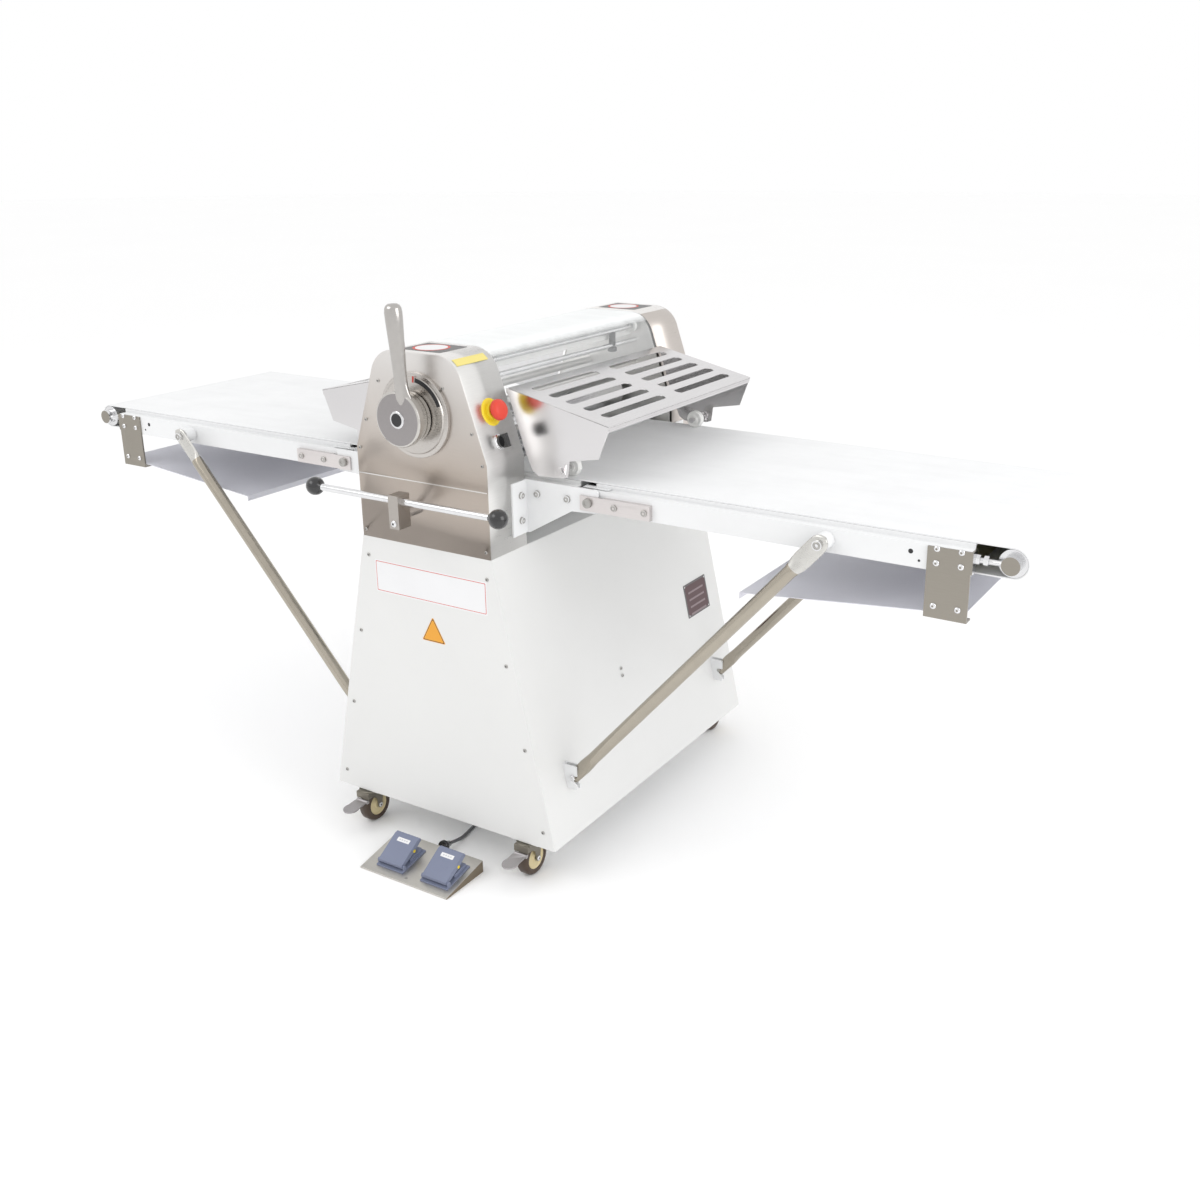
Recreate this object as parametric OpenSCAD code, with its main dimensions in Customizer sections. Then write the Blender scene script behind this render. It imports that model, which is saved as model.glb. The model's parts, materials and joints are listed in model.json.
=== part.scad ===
// Reversible dough sheeter with two folding belt tables.
// X runs along the belts, -Y is the operator's side, +Z is up.
// The origin is on the floor under the middle of the cabinet.

/* [Cabinet] */
// Width of the cabinet at its lower edge, along the belts
cabinet_w = 580; // [540:5:640]
// Width of the cabinet at the deck, where the head stands
cabinet_top_w = 322; // [300:2:340]
// Depth of the cabinet and of the head, across the belts
cabinet_d = 800; // [760:5:960]
// Height of the cabinet's lower edge above the floor
cabinet_low = 82; // [82:1:100]
// Height of the cabinet's panels
cabinet_h = 590; // [520:5:680]
// Thickness of the panels and covers
sheet = 1.5; // [1:0.1:2.5]
// Side of the square tubes in the frame
tube = 25; // [20:1:35]
// Inset of the panel screws from the sloping edge
screw_inset = 20; // [14:1:30]

/* [Head] */
// Height from the deck to the knee of the head covers
knee_h = 183; // [160:1:220]
// Height of the head covers above the deck
head_h = 381; // [360:1:440]
// How far each side of a cover leans in for each mm it rises
lean = 0.3333; // [0.25:0.0001:0.36]
// Radius of the covers' upper corners
head_r = 60; // [40:1:70]
// Thickness of the two side plates that carry the rollers
side_t = 4; // [3:0.5:8]
// Thickness of the clear hood
hood_t = 4; // [3:0.5:6]
// Height from the deck to the lower edge of the clear hood
hood_low = 303; // [290:1:330]

/* [Rollers] */
// Diameter of the two sheeting rollers
roller_d = 88; // [76:1:90]
// Height of the lower sheeting roller's axis above the deck
lower_axis = 92; // [88:1:96]
// Gap between the sheeting rollers at rest
roller_gap = 17; // [14:0.5:20]
// Length of the rollers' working faces
roller_l = 524; // [500:2:560]
// Diameter of the sheeting rollers' shafts
shaft_d = 30; // [24:1:34]
// Diameter of the rollers that drive and turn the belts
belt_roller_d = 48; // [40:1:54]
// Distance from the middle to each drive roller's axis
drive_x = 82; // [78:1:96]

/* [Tables and belts] */
// Distance from the middle to each tail roller's axis
tail_x = 1100; // [1000:5:1320]
// Height of the belt rollers' axes above the deck
belt_axis = 115; // [110:1:120]
// Width of each belt
belt_w = 520; // [480:2:540]
// Thickness of each belt
belt_t = 2.5; // [1.5:0.1:4]
// Height of the side rails
rail_h = 43; // [36:1:50]
// Thickness of the table's folded sheet
table_t = 3; // [2:0.1:4]
// Width of each table across its rails
table_w = 559; // [552:1:562]
// Distance from the middle to the fold pivots
fold_x = 309; // [300:1:340]
// Height of the fold pivots above the deck
fold_h = 107; // [104:1:112]
// Diameter of the fold pins
fold_pin_d = 10; // [8:0.5:14]
// Length of the rails before the tail roller that the end plates take
end_plate_w = 73; // [60:1:90]
// Height of the end plates
end_plate_h = 122; // [100:1:140]
// Length of each tray under a table
tray_l = 411; // [300:5:500]
// Drop of each tray from its outer end to its inner end
tray_drop = 32; // [20:1:45]

/* [Struts] */
// Distance from the middle to the struts' upper bolts
strut_x = 788; // [700:4:820]
// Height of the struts' lower pins above the floor
strut_low = 208; // [190:2:300]
// Diameter of the strut tubes
strut_d = 25; // [20:1:28]
// Distance from the middle to the struts, across the belts
strut_y = 312; // [304:1:330]

/* [Guards] */
// Length of each guard's plate, from its hinge outward
guard_l = 233; // [200:1:240]
// Slope of the guards' plates
guard_slope = 12.4; // [8:0.1:15]
// Diameter of the nylon rollers that rest on the belt
rest_d = 36; // [30:1:44]
// Number of slot rows across each guard
slot_n = 5; // [3:1:6]
// Width of a slot
slot_w = 20; // [12:1:24]
// Width of the sheet left between a guard's cheek and its slots
slot_edge = 37; // [20:1:60]
// Width of the sheet left between the two slots of a row
slot_web = 52; // [30:1:90]

/* [Controls] */
// Distance from the deck to the gap lever's axis
lever_axis = 263; // [255:1:275]
// Diameter of the gap lever's hub
hub_d = 106; // [90:1:120]
// Length of the gap lever, from its axis to its tip
lever_l = 214; // [180:1:240]
// Lean of the gap lever at rest
lever_lean = 3; // [0:1:15]
// Diameter of the fixed scale ring behind the hub
scale_d = 164; // [140:1:170]
// Radius of the pinion that lifts the upper roller
pinion_r = 13.37; // [12.5:0.01:15]
// Distance between the balls of the direction bar
bar_l = 450; // [380:5:520]
// Diameter of the direction bar
bar_d = 14; // [10:1:18]
// Diameter of the balls on the direction bar
ball_d = 37; // [30:1:44]
// Height of the direction bar's pivot above the deck
bar_axis = 80; // [72:1:90]

/* [Casters] */
// Diameter of the caster wheels
wheel_d = 75; // [60:1:76]
// Width of the caster wheels
wheel_w = 27; // [20:1:32]
// Distance from the middle to the casters' swivels, along the belts
caster_x = 213; // [190:1:240]
// Distance from the middle to the casters' swivels, across the belts
caster_y = 385; // [350:1:386]
// Distance by which each wheel trails its swivel
trail = 10; // [6:1:20]

/* [Foot switch] */
// Width of the foot switch's base plate
foot_w = 228; // [200:2:260]
// Depth of the foot switch's base plate
foot_d = 118; // [110:1:140]
// Height of the base plate's rear edge
foot_h = 26; // [20:1:32]
// Distance from the cabinet's front to the base plate
foot_gap = 27; // [20:1:90]
// Width of each treadle
treadle_w = 66; // [50:1:70]
// Distance between the treadles' middles
treadle_pitch = 116; // [80:1:120]

/* [Hidden] */
$fn = 64;

// Gap between pieces of different bodies that face each other
clear = 0.3;
// Radial clearance of a shaft or pin in its bore
running = 0.05;

// Cabinet
deck_z = cabinet_low + cabinet_h;
half_d = cabinet_d / 2;
half_low = cabinet_w / 2;
half_top = cabinet_top_w / 2;
function half_at(z) = half_low - (z - cabinet_low) * (half_low - half_top) / cabinet_h;
pan_z = cabinet_low + 2;
pan_t = 3;
screw_rows = [36, 208, 379, 550];
lock_rows = [324, 340];
lock_y = 60;

// Head
knee_z = deck_z + knee_h;
head_z = deck_z + head_h;
hood_z = deck_z + hood_low;
cover_d = 115;
side_y = half_d - cover_d;
head_side = side_y - side_t;

// Rollers
lower_z = deck_z + lower_axis;
upper_z = lower_z + roller_d + roller_gap;
block_w = 56;
block_h = 70;
block_t = 20;
slot_up = 22;
slot_down = 20;
belt_z = deck_z + belt_axis;

// Tables
belt_in = belt_roller_d / 2 + clear;
belt_out = belt_in + belt_t;
belt_top = belt_z + belt_out;
bed_z = belt_z + belt_in - clear;
bed_half = belt_w / 2 + 3;
rail_half = table_w / 2;
rail_top = bed_z - 8;
rail_low = rail_top - rail_h;
fold_z = deck_z + fold_h;
rail_start = fold_x - 20;
rail_end = tail_x - 61;
bed_start = fold_x + 3;
inner_bed_end = fold_x - 33;
arm_reach = fold_x + 21;
web_in = head_side;
web_t = side_y - head_side;
strap_y = side_y + clear;
strap_t = 4;
strap_z = fold_z - 1.5;
plate_top = rail_top - 1;
plate_low = plate_top - end_plate_h;
plate_t = 3.5;
take_up_y = belt_w / 2 + 8;
spigot_r = 6;
spigot_l = 28;
tray_z = plate_low + 9;

// Struts
strut_foot_x = half_at(strut_low) + 18;
strut_top_z = fold_z + 4;
strut_run = strut_x - strut_foot_x;
strut_rise = strut_top_z - strut_low;
strut_l = sqrt(strut_run * strut_run + strut_rise * strut_rise);
strut_angle = atan2(strut_rise, strut_run);
strut_pin_r = 4;
lug_t = 8;
lug_r = 13;

// Guards
guard_x = half_top - (hood_z - knee_z) * lean + 8;
guard_half = side_y;
guard_pin_r = 4;
rest_x = guard_x + 116;
rest_z = belt_top + clear + rest_d / 2;
rest_y = belt_w / 2 - 17;
cheek_low = rest_z - 14;

// Controls
lever_z = deck_z + lever_axis;
scale_t = 13;
face_y = -half_d;
hub_y = face_y - scale_t - 2;
hub_t = 25;
disc_t = 15;
rack_y = side_y + 31;
rack_t = 14;
bar_y = face_y - 55;
bar_x = -10;
bar_z = deck_z + bar_axis;
bar_rise = 26;
bar_shaft_r = 9;
face_lean = atan(lean);
stop_h = 272;
stop_y = half_d - 58;
selector_h = 217;
selector_y = half_d - 55;

// Casters
wheel_z = wheel_d / 2;
axle_r = 5;
fork_gap = wheel_w / 2 + 2;
fork_t = 2.5;
fork_top = pan_z - 4;
crown_z = wheel_d + 0.6;
pedal_x = -26;
pedal_z = wheel_z + 21;

// Foot switch
foot_x = 13;
foot_back = -half_d - foot_gap;
foot_front = foot_back - foot_d;
foot_lip = 3;
foot_slope = atan2(foot_h - foot_lip, foot_d);
housing_l = 76;
treadle_rise = 20;
gland_x = 12;
cord_d = 7;
cord_z = cord_d / 2 + 0.3;
coil_mid = 84;
coil_turns_w = 3 * cord_d;
coil_x = 70;
coil_y = -110;
coil_h = 2 * cord_d;
outlet_x = 100;
outlet_y = -150;

// Route of the cord from the foot switch's gland back to the coil
CORD_A = [[12, -404, 14], [12, -390, 13], [12, -370, 9], [10, -350, 5], [6, -325, 4],
    [2, -300, 4], [-4, -270, 4], [-9, -235, 4], [-11, -205, 4], [-7, -175, 4], [4, -148, 4],
    [14, -128, 4], [20, -115, 4]];
// Route of the cord from the coil up to its gland under the cabinet
CORD_B = [[70, -61, 11], [84, -61, 13], [98, -66, 19], [109, -78, 27], [114, -95, 37],
    [113, -115, 46], [108, -133, 54], [102, -145, 61], [100, -150, 67], [100, -150, 72]];

// ---------------------------------------------------------------- helpers

module along_y(y0, l) {
    translate([0, y0 + l, 0]) rotate([90, 0, 0]) linear_extrude(l) children();
}

module along_x(x0, l) {
    translate([x0, 0, 0]) rotate([90, 0, 90]) linear_extrude(l) children();
}

module rod_y(r, y0, l, x = 0, z = 0) {
    translate([x, y0, z]) rotate([-90, 0, 0]) cylinder(r = r, h = l);
}

module rod_x(r, x0, l, y = 0, z = 0) {
    translate([x0, y, z]) rotate([0, 90, 0]) cylinder(r = r, h = l);
}

module both_x() {
    children();
    mirror([1, 0, 0]) children();
}

module both_y() {
    children();
    mirror([0, 1, 0]) children();
}

module side(s) {
    mirror([s < 0 ? 1 : 0, 0, 0]) children();
}

module screw_y(x, z, y, r = 4, h = 2.4) {
    rod_y(r, y - h, h, x, z);
}

function unit(v) = v / norm(v);

// Points of an arc of radius r that rounds the corner q between p and t
function rounded(p, q, t, r, n = 14) =
    let (a = unit(p - q), b = unit(t - q), bis = unit(a + b),
        half = acos(a * b) / 2, c = q + bis * r / sin(half),
        s = q + a * r / tan(half), e = q + b * r / tan(half),
        a0 = atan2(s[1] - c[1], s[0] - c[0]), a1 = atan2(e[1] - c[1], e[0] - c[0]),
        d = a1 - a0, turn = d > 180 ? d - 360 : d < -180 ? d + 360 : d)
    [for (i = [0:n]) c + r * [cos(a0 + turn * i / n), sin(a0 + turn * i / n)]];

// Half width of the head at a height, with the outline drawn in by k
function head_half(z, k = 0) =
    half_top - max(0, z - knee_z) * lean - (z > knee_z ? k / cos(face_lean) : k);

// Right half of the head's outline above the height z0, drawn in by k
function head_right(z0, k) =
    let (corner = [head_half(head_z - k, k), head_z - k], knee = [half_top - k, knee_z - k * tan(face_lean / 2)],
        start = z0 < knee[1] ? [[half_top - k, z0], knee] : [[head_half(z0, k), z0]],
        foot = start[len(start) - 1])
    concat(start, rounded(foot, corner, [0, head_z - k], head_r - k));

function flipped(pts) = [for (i = [len(pts) - 1:-1:0]) [-pts[i][0], pts[i][1]]];

module head_outline(z0, k = 0) {
    right = head_right(z0, k);
    polygon(concat(right, flipped(right)));
}

// Direction of a route at one of its points
function heading(pts, i) = unit(pts[min(i + 1, len(pts) - 1)] - pts[max(i - 1, 0)]);

// A tube of radius r swept along a route of points
module swept(pts, r, n = 8) {
    rings = [for (i = [0:len(pts) - 1])
        let (d = heading(pts, i), u = unit(cross(d, [0.02, 0.03, 1])), v = cross(d, u))
        for (k = [0:n - 1]) pts[i] + r * (u * cos(k * 360 / n) + v * sin(k * 360 / n))];
    last = n * (len(pts) - 1);
    walls = [for (i = [0:len(pts) - 2]) for (k = [0:n - 1])
        let (a = i * n + k, b = i * n + (k + 1) % n) [a, b, b + n, a + n]];
    polyhedron(rings, concat(walls, [[for (k = [n - 1:-1:0]) k], [for (k = [0:n - 1]) last + k]]));
}

// ---------------------------------------------------------------- cabinet

module post(x_sign) {
    inner = sheet + clear;
    z0 = pan_z + pan_t + tube;
    z1 = deck_z - 3;
    side(x_sign) difference() {
        along_y(-half_d + inner, tube)
            polygon([[half_at(z0) - inner - tube, z0], [half_at(z0) - inner, z0],
                [half_at(z1) - inner, z1], [half_at(z1) - inner - tube, z1]]);
        along_y(-half_d + inner + 2, tube - 4)
            polygon([[half_at(z0) - inner - tube + 2, z0 - 1], [half_at(z0) - inner - 2, z0 - 1],
                [half_at(z1) - inner - 2, z1 + 1], [half_at(z1) - inner - tube + 2, z1 + 1]]);
    }
}

module cabinet_frame() {
    inner = sheet + clear;
    w = half_at(pan_z + pan_t + tube) - inner;
    d = half_d - inner;
    color("gainsboro") {
        difference() {
            translate([-half_at(pan_z) + 3, -d, pan_z])
                cube([2 * half_at(pan_z) - 6, 2 * d, pan_t]);
            translate([outlet_x, outlet_y, pan_z - 1]) cylinder(r = cord_d / 2 + 1, h = pan_t + 2);
        }
        translate([0, 0, pan_z + pan_t]) difference() {
            translate([-w, -d, 0]) cube([2 * w, 2 * d, tube]);
            translate([-w + tube, -d + tube, -1])
                cube([2 * w - 2 * tube, 2 * d - 2 * tube, tube + 2]);
        }
        both_y() for (s = [-1, 1]) post(s);
        difference() {
            translate([-half_top + sheet + clear, -d, deck_z - 3])
                cube([2 * (half_top - sheet - clear), 2 * d, 3]);
            translate([-65, side_y + 20, deck_z - 4]) cube([130, 60, 5]);
        }
        both_x() both_y() translate([caster_x - 34, caster_y - 34, fork_top])
            cube([68, min(68, half_d - 2 - caster_y + 34), pan_z - fork_top]);
        difference() {
            translate([outlet_x, outlet_y, 66]) cylinder(r = 10, h = pan_z - 66);
            translate([outlet_x, outlet_y, 65]) cylinder(r = cord_d / 2 + running, h = pan_z - 64);
        }
    }
}

module cabinet_side_panels() {
    color("white") both_x() along_y(-half_d + sheet, cabinet_d - 2 * sheet)
        polygon([[half_low, cabinet_low], [half_top, deck_z], [half_top - sheet, deck_z],
            [half_low - sheet, cabinet_low]]);
}

module cabinet_end_panels() {
    color("white") both_y() along_y(-half_d, sheet)
        polygon([[half_low, cabinet_low], [half_top, deck_z], [-half_top, deck_z],
            [-half_low, cabinet_low]]);
}

module panel_screws() {
    color("silver") both_y() {
        both_x() for (h = screw_rows)
            screw_y(half_at(cabinet_low + h) - screw_inset, cabinet_low + h, face_y);
        both_x() for (p = [[10, 14], [10, 182], [12, 240]])
            screw_y(head_half(deck_z + p[1]) - p[0], deck_z + p[1], face_y, 3.5);
        for (x = [-92, 66]) screw_y(x, head_z - 62, face_y, 3.5);
    }
    color("silver") for (z = lock_rows)
        rod_x(4, half_at(z) + 0.9, 2, -lock_y, z);
}

// ---------------------------------------------------------------- head

module head_side_plates() {
    color("silver") both_y() difference() {
        along_y(-side_y, side_t) difference() {
            head_outline(deck_z, hood_t + 1 + clear);
            translate([0, lower_z]) circle(r = shaft_d / 2 + 1);
            translate([-shaft_d / 2 - 1, upper_z - slot_down])
                square([shaft_d + 2, slot_up + slot_down]);
            translate([0, upper_z - slot_down]) circle(r = shaft_d / 2 + 1);
            translate([0, upper_z + slot_up]) circle(r = shaft_d / 2 + 1);
            for (x = [-drive_x, drive_x]) translate([x, belt_z]) circle(r = 11);
        }
    }
    color("silver") for (p = [[-90, 34], [90, 34], [-62, 262], [62, 262]])
        rod_y(9, -head_side, 2 * head_side, p[0], deck_z + p[1]);
}

module head_cover() {
    difference() {
        along_y(-half_d, cover_d) head_outline(deck_z);
        along_y(-half_d + sheet, cover_d) difference() {
            head_outline(deck_z - 1, sheet);
        }
    }
}

module head_cover_front() {
    color("silver") difference() {
        head_cover();
        rod_y(14, -half_d - 1, sheet + 2, 0, lever_z);
        rod_y(bar_shaft_r + running, -half_d - 1, sheet + 2, bar_x, bar_z);
    }
}

module head_cover_rear() {
    color("silver") mirror([0, 1, 0]) head_cover();
}

// One arm bracket: a web with a flange folded against the cover
module arm_bracket() {
    difference() {
        union() {
            along_y(-web_in - web_t, web_t)
                polygon([[half_top, deck_z + 27], [half_top, rail_top + 2],
                    [arm_reach - 5, rail_top + 2], [arm_reach, rail_top - 3],
                    [arm_reach - 4, rail_low - 1], [fold_x - 40, rail_low - 4],
                    [half_top + 9, deck_z + 27]]);
            translate([half_top, -330, deck_z + 27]) cube([4, 330 - web_in, 106]);
        }
        rod_y(fold_pin_d / 2 + running, -web_in - web_t - 1, web_t + 2, fold_x, fold_z);
    }
    for (z = [55, 105]) rod_x(6.5, half_top + 4, 5, -304, deck_z + z);
    for (x = [190, 260]) {
        rod_y(6.5, -side_y - 5, 5, x, fold_z);
        rod_y(9, -web_in, web_in - rail_half, x, fold_z);
    }
    rod_y(fold_pin_d / 2, -strap_y - strap_t - clear, strap_t + 2 * clear + web_t + 1, fold_x, fold_z);
    rod_y(9, -strap_y - strap_t - clear - 5, 5, fold_x, fold_z);
}

// One strut bracket: a foot on the sloping panel and two cheeks with open notches
module strut_bracket() {
    base = half_at(strut_low);
    gap = lug_t / 2 + clear;
    for (y = [-strut_y - gap - 3, -strut_y + gap]) difference() {
        along_y(y, 3) polygon([[half_at(strut_low + 26), strut_low + 26],
            [strut_foot_x + 10, strut_low + 26], [strut_foot_x + 10, strut_low - 26],
            [half_at(strut_low - 26), strut_low - 26]]);
        rod_y(strut_pin_r + clear, y - 1, 5, strut_foot_x, strut_low);
        along_y(y - 1, 5) polygon([[strut_foot_x, strut_low + 4.3], [strut_foot_x + 40, strut_low + 6],
            [strut_foot_x + 40, strut_low - 50], [strut_foot_x - 3, strut_low - 3.2]]);
    }
    along_y(-strut_y - gap, 2 * gap) polygon([[half_at(strut_low + 26), strut_low + 26],
        [half_at(strut_low + 26) + 3, strut_low + 26], [half_at(strut_low - 26) + 3, strut_low - 26],
        [half_at(strut_low - 26), strut_low - 26]]);
}

module table_brackets() {
    color("white") both_x() both_y() {
        arm_bracket();
        strut_bracket();
    }
}

// Section of a table: a bed between two rails, folded from one sheet
module table_section() {
    t = table_t;
    right = [[bed_half, bed_z], [bed_half, rail_top], [rail_half, rail_top], [rail_half, rail_low],
        [rail_half - t, rail_low], [rail_half - t, rail_top - t], [bed_half - t, rail_top - t],
        [bed_half - t, bed_z - t]];
    polygon(concat(right, flipped(right)));
}

module inner_beds() {
    color("white") both_x() {
        difference() {
            along_x(drive_x + 28, inner_bed_end - drive_x - 28) table_section();
            translate([0, -rail_half - 1, rail_low - 1])
                cube([half_top + 6, 2 * rail_half + 2, rail_top - rail_low + 1 - table_t]);
        }
        for (x = [170, 240]) translate([x, -bed_half + table_t, bed_z - table_t - 18])
            cube([16, 2 * (bed_half - table_t), 18]);
    }
}

module hood() {
    color("aliceblue", 0.4) along_y(-side_y + 0.5, 2 * side_y - 1) difference() {
        head_outline(hood_z, 1);
        head_outline(hood_z - 1, 1 + hood_t);
    }
}

module flour_tray() {
    w = 104;
    z = head_z - 52;
    color("white") difference() {
        translate([-w / 2, -head_side, z]) cube([w, 2 * head_side, 40]);
        translate([-w / 2 + 2, -head_side + 2, z + 2]) cube([w - 4, 2 * head_side - 4, 40]);
    }
}

// ---------------------------------------------------------------- drive

motor_z = 330;
pulley_y = side_y + 34;
pulley_t = 18;
motor_pulley_r = 32;
roller_pulley_r = 50;

module gear_motor() {
    color("dimgray") {
        translate([-70, 150, pan_z + pan_t]) cube([140, 140, motor_z + 70 - pan_z - pan_t]);
        rod_y(70, -110, 260, 0, motor_z);
        for (y = [-90, 90]) translate([-60, y, pan_z + pan_t]) cube([120, 20, motor_z - 60 - pan_z]);
    }
}

module drive_pulley() {
    color("silver") {
        rod_y(12, 290.3, pulley_y + pulley_t - 290.3, 0, motor_z);
        rod_y(motor_pulley_r, pulley_y, pulley_t, 0, motor_z);
    }
}

module drive_belt_outline(k) {
    hull() {
        translate([0, motor_z]) circle(r = motor_pulley_r + clear + k, $fn = 48);
        translate([0, lower_z]) circle(r = roller_pulley_r + clear + k, $fn = 48);
    }
}

module drive_belt() {
    color("black") along_y(pulley_y + 1, pulley_t - 2) difference() {
        drive_belt_outline(6);
        drive_belt_outline(0);
    }
}

module ring_y(r, bore, y0, l, x, z) {
    difference() {
        rod_y(r, y0, l, x, z);
        rod_y(bore, y0 - 1, l + 2, x, z);
    }
}

module bearing_blocks() {
    color("slategray") both_y() {
        ring_y(28, shaft_d / 2 + running, -side_y - 12, 12, 0, lower_z);
        for (x = [-drive_x, drive_x]) ring_y(20, 10 + running, -side_y - 12, 12, x, belt_z);
        for (x = [-block_w / 2 - clear - 12, block_w / 2 + clear])
            translate([x, -side_y - block_t, upper_z - block_h / 2 - slot_down])
                cube([12, block_t, block_h + slot_up + slot_down - 14]);
    }
}

module scrapers() {
    color("silver") both_x() {
        translate([roller_d / 2 + 1.5, -head_side, upper_z - 1]) cube([16, 2 * head_side, 3]);
        translate([roller_d / 2 + 1.5, -head_side, lower_z - 14]) cube([10, 2 * head_side, 3]);
    }
}

module bottom_roller() {
    color("gainsboro") {
        rod_y(roller_d / 2, -roller_l / 2, roller_l, 0, lower_z);
        rod_y(shaft_d / 2, -side_y - 16, side_y + 16 + pulley_y + pulley_t, 0, lower_z);
        rod_y(roller_pulley_r, pulley_y, pulley_t, 0, lower_z);
    }
}

module roller_carriage() {
    color("slategray") both_y() difference() {
        translate([-block_w / 2, -side_y - block_t, upper_z - block_h / 2])
            cube([block_w, block_t - clear, block_h]);
        rod_y(shaft_d / 2 + running, -side_y - block_t - 1, block_t + 2, 0, upper_z);
    }
    color("slategray") translate([-pinion_r - clear - 10, -rack_y - rack_t, upper_z + 16])
        cube([10, rack_t, lever_z - upper_z + 34]);
    color("slategray") translate([-pinion_r - clear - 10, -rack_y - rack_t, upper_z + 16])
        cube([10, rack_y + rack_t - side_y - block_t, 16]);
}

module top_roller() {
    color("gainsboro") {
        rod_y(roller_d / 2, -roller_l / 2, roller_l, 0, upper_z);
        rod_y(shaft_d / 2, -side_y - block_t + 1, 2 * (side_y + block_t - 1), 0, upper_z);
    }
}

// ---------------------------------------------------------------- controls

module lever_scale() {
    color("silver") difference() {
        union() {
            rod_y(scale_d / 2, face_y - scale_t + 4, scale_t - 4, 0, lever_z);
            rod_y(scale_d / 2 - 8, face_y - scale_t, scale_t, 0, lever_z);
            rod_y(13.9, face_y, sheet + 12, 0, lever_z);
        }
        rod_y(12 + running, face_y - scale_t - 1, scale_t + sheet + 14, 0, lever_z);
    }
}

module gap_lever() {
    disc_y = hub_y - hub_t - disc_t;
    neck = hub_d / 2 - 12;
    color("silver") {
        rod_y(12, hub_y, -rack_y - hub_y + 2, 0, lever_z);
        rod_y(pinion_r, -rack_y - rack_t, rack_t, 0, lever_z);
        rod_y(hub_d / 2 - 5, hub_y - hub_t, hub_t, 0, lever_z);
        rod_y(hub_d / 2, disc_y, disc_t, 0, lever_z);
        rod_y(15, disc_y - 2.5, 2.6, 0, lever_z);
        translate([0, disc_y + disc_t / 2, lever_z]) rotate([-2, lever_lean, 0]) {
            translate([0, 0, neck]) cylinder(r1 = 11, r2 = 16.5, h = lever_l - neck - 16.5);
            translate([0, 0, lever_l - 16.5]) sphere(r = 16.5);
        }
    }
}

module direction_bar() {
    color("silver") {
        rod_x(bar_d / 2, -bar_l / 2 + 14, bar_l - 28, bar_y, bar_z + bar_rise);
        translate([bar_x - 12, bar_y - 16, bar_z - 26]) cube([24, 33, 66]);
        rod_y(bar_shaft_r, bar_y + 10, -head_side - 40 - bar_y, bar_x, bar_z);
        rod_y(bar_shaft_r + 3, bar_y + 12, face_y - clear - bar_y - 12, bar_x, bar_z);
    }
}

module bar_knobs() {
    color("black") both_x() translate([bar_l / 2, bar_y, bar_z + bar_rise]) difference() {
        sphere(r = ball_d / 2);
        rod_x(bar_d / 2 + running, -ball_d, ball_d - 14);
    }
}

// Places a control on the right face of the front cover, its axis along +Z
module on_face(h, y) {
    translate([head_half(deck_z + h), -y, deck_z + h]) rotate([0, 90 - face_lean, 0]) children();
}

module switch_bases() {
    color("gold") on_face(stop_h, stop_y) difference() {
        union() {
            cylinder(r = 27, h = 4);
            cylinder(r = 16, h = 10);
        }
        translate([0, 0, 0.5]) cylinder(r = 11 + running, h = 12);
    }
    color("silver") on_face(selector_h, selector_y) {
        cylinder(r = 15, h = 5);
    }
}

module stop_button() {
    color("red") on_face(stop_h, stop_y) {
        translate([0, 0, 6.5]) cylinder(r = 11, h = 11);
        translate([0, 0, 17]) cylinder(r = 20, h = 9);
        translate([0, 0, 26]) cylinder(r1 = 20, r2 = 13, h = 5);
    }
}

module selector_knob() {
    color("black") on_face(selector_h, selector_y) {
        translate([0, 0, 5 + clear]) cylinder(r = 12, h = 5);
        translate([-13, -4.5, 10]) cube([26, 9, 12]);
    }
}

// ---------------------------------------------------------------- guards

module guard(s) {
    slot_l = guard_half - slot_edge - slot_web / 2;
    slot_mid = (slot_web + slot_l) / 2;
    pitch = (guard_l - 73) / (slot_n - 1);
    side(s) color("silver") {
        translate([guard_x, 0, hood_z]) rotate([0, guard_slope, 0]) difference() {
            union() {
                translate([0, -guard_half, 3]) cube([guard_l, 2 * guard_half, sheet]);
                translate([guard_l - sheet, -guard_half, -8]) cube([sheet, 2 * guard_half, 12]);
            }
            for (row = [0:slot_n - 1], y = [-slot_mid, slot_mid]) {
                x = 34 + pitch * row;
                translate([x - slot_w / 2, y - (slot_l - slot_w) / 2, -1])
                    cube([slot_w, slot_l - slot_w, 6]);
                for (e = [-1, 1])
                    translate([x, y + e * (slot_l - slot_w) / 2, -1])
                        cylinder(r = slot_w / 2, h = 6);
            }
        }
        rod_y(guard_pin_r, -guard_half, 2 * guard_half, guard_x, hood_z);
        both_y() {
            difference() {
                along_y(-guard_half, sheet) guard_cheek();
                rod_y(4.5, -guard_half - 1, 4, rest_x, rest_z);
            }
            rod_y(4, -guard_half - 3, guard_half + 3 - rest_y + 16, rest_x, rest_z);
            rod_y(9, -guard_half + sheet, 4, rest_x, rest_z);
            rod_y(7, -guard_half - 4, 4, rest_x, rest_z);
            rod_y(6, -rest_y + 16, 3, rest_x, rest_z);
        }
    }
}

module guard_cheek() {
    tip_x = guard_x + guard_l * cos(guard_slope) + 0.5;
    tip_z = hood_z - guard_l * sin(guard_slope) + 2;
    polygon([[guard_x - 4, hood_z + 3.5], [tip_x, tip_z], [tip_x - 24, tip_z - 62],
        [rest_x + 22, tip_z - 74], [rest_x + 18, cheek_low + 4], [rest_x + 8, cheek_low],
        [rest_x - 50, cheek_low - 3], [half_top + 20, cheek_low + 6], [half_top + 6, knee_z],
        [head_half(hood_z - 12) + 6, hood_z - 12], [guard_x - 4, hood_z - 5]]);
}

module guard_rollers(s) {
    side(s) color("white") both_y()
        ring_y(rest_d / 2, 4 + running, -rest_y - 7, 14, rest_x, rest_z);
}

// ---------------------------------------------------------------- tables

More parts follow.
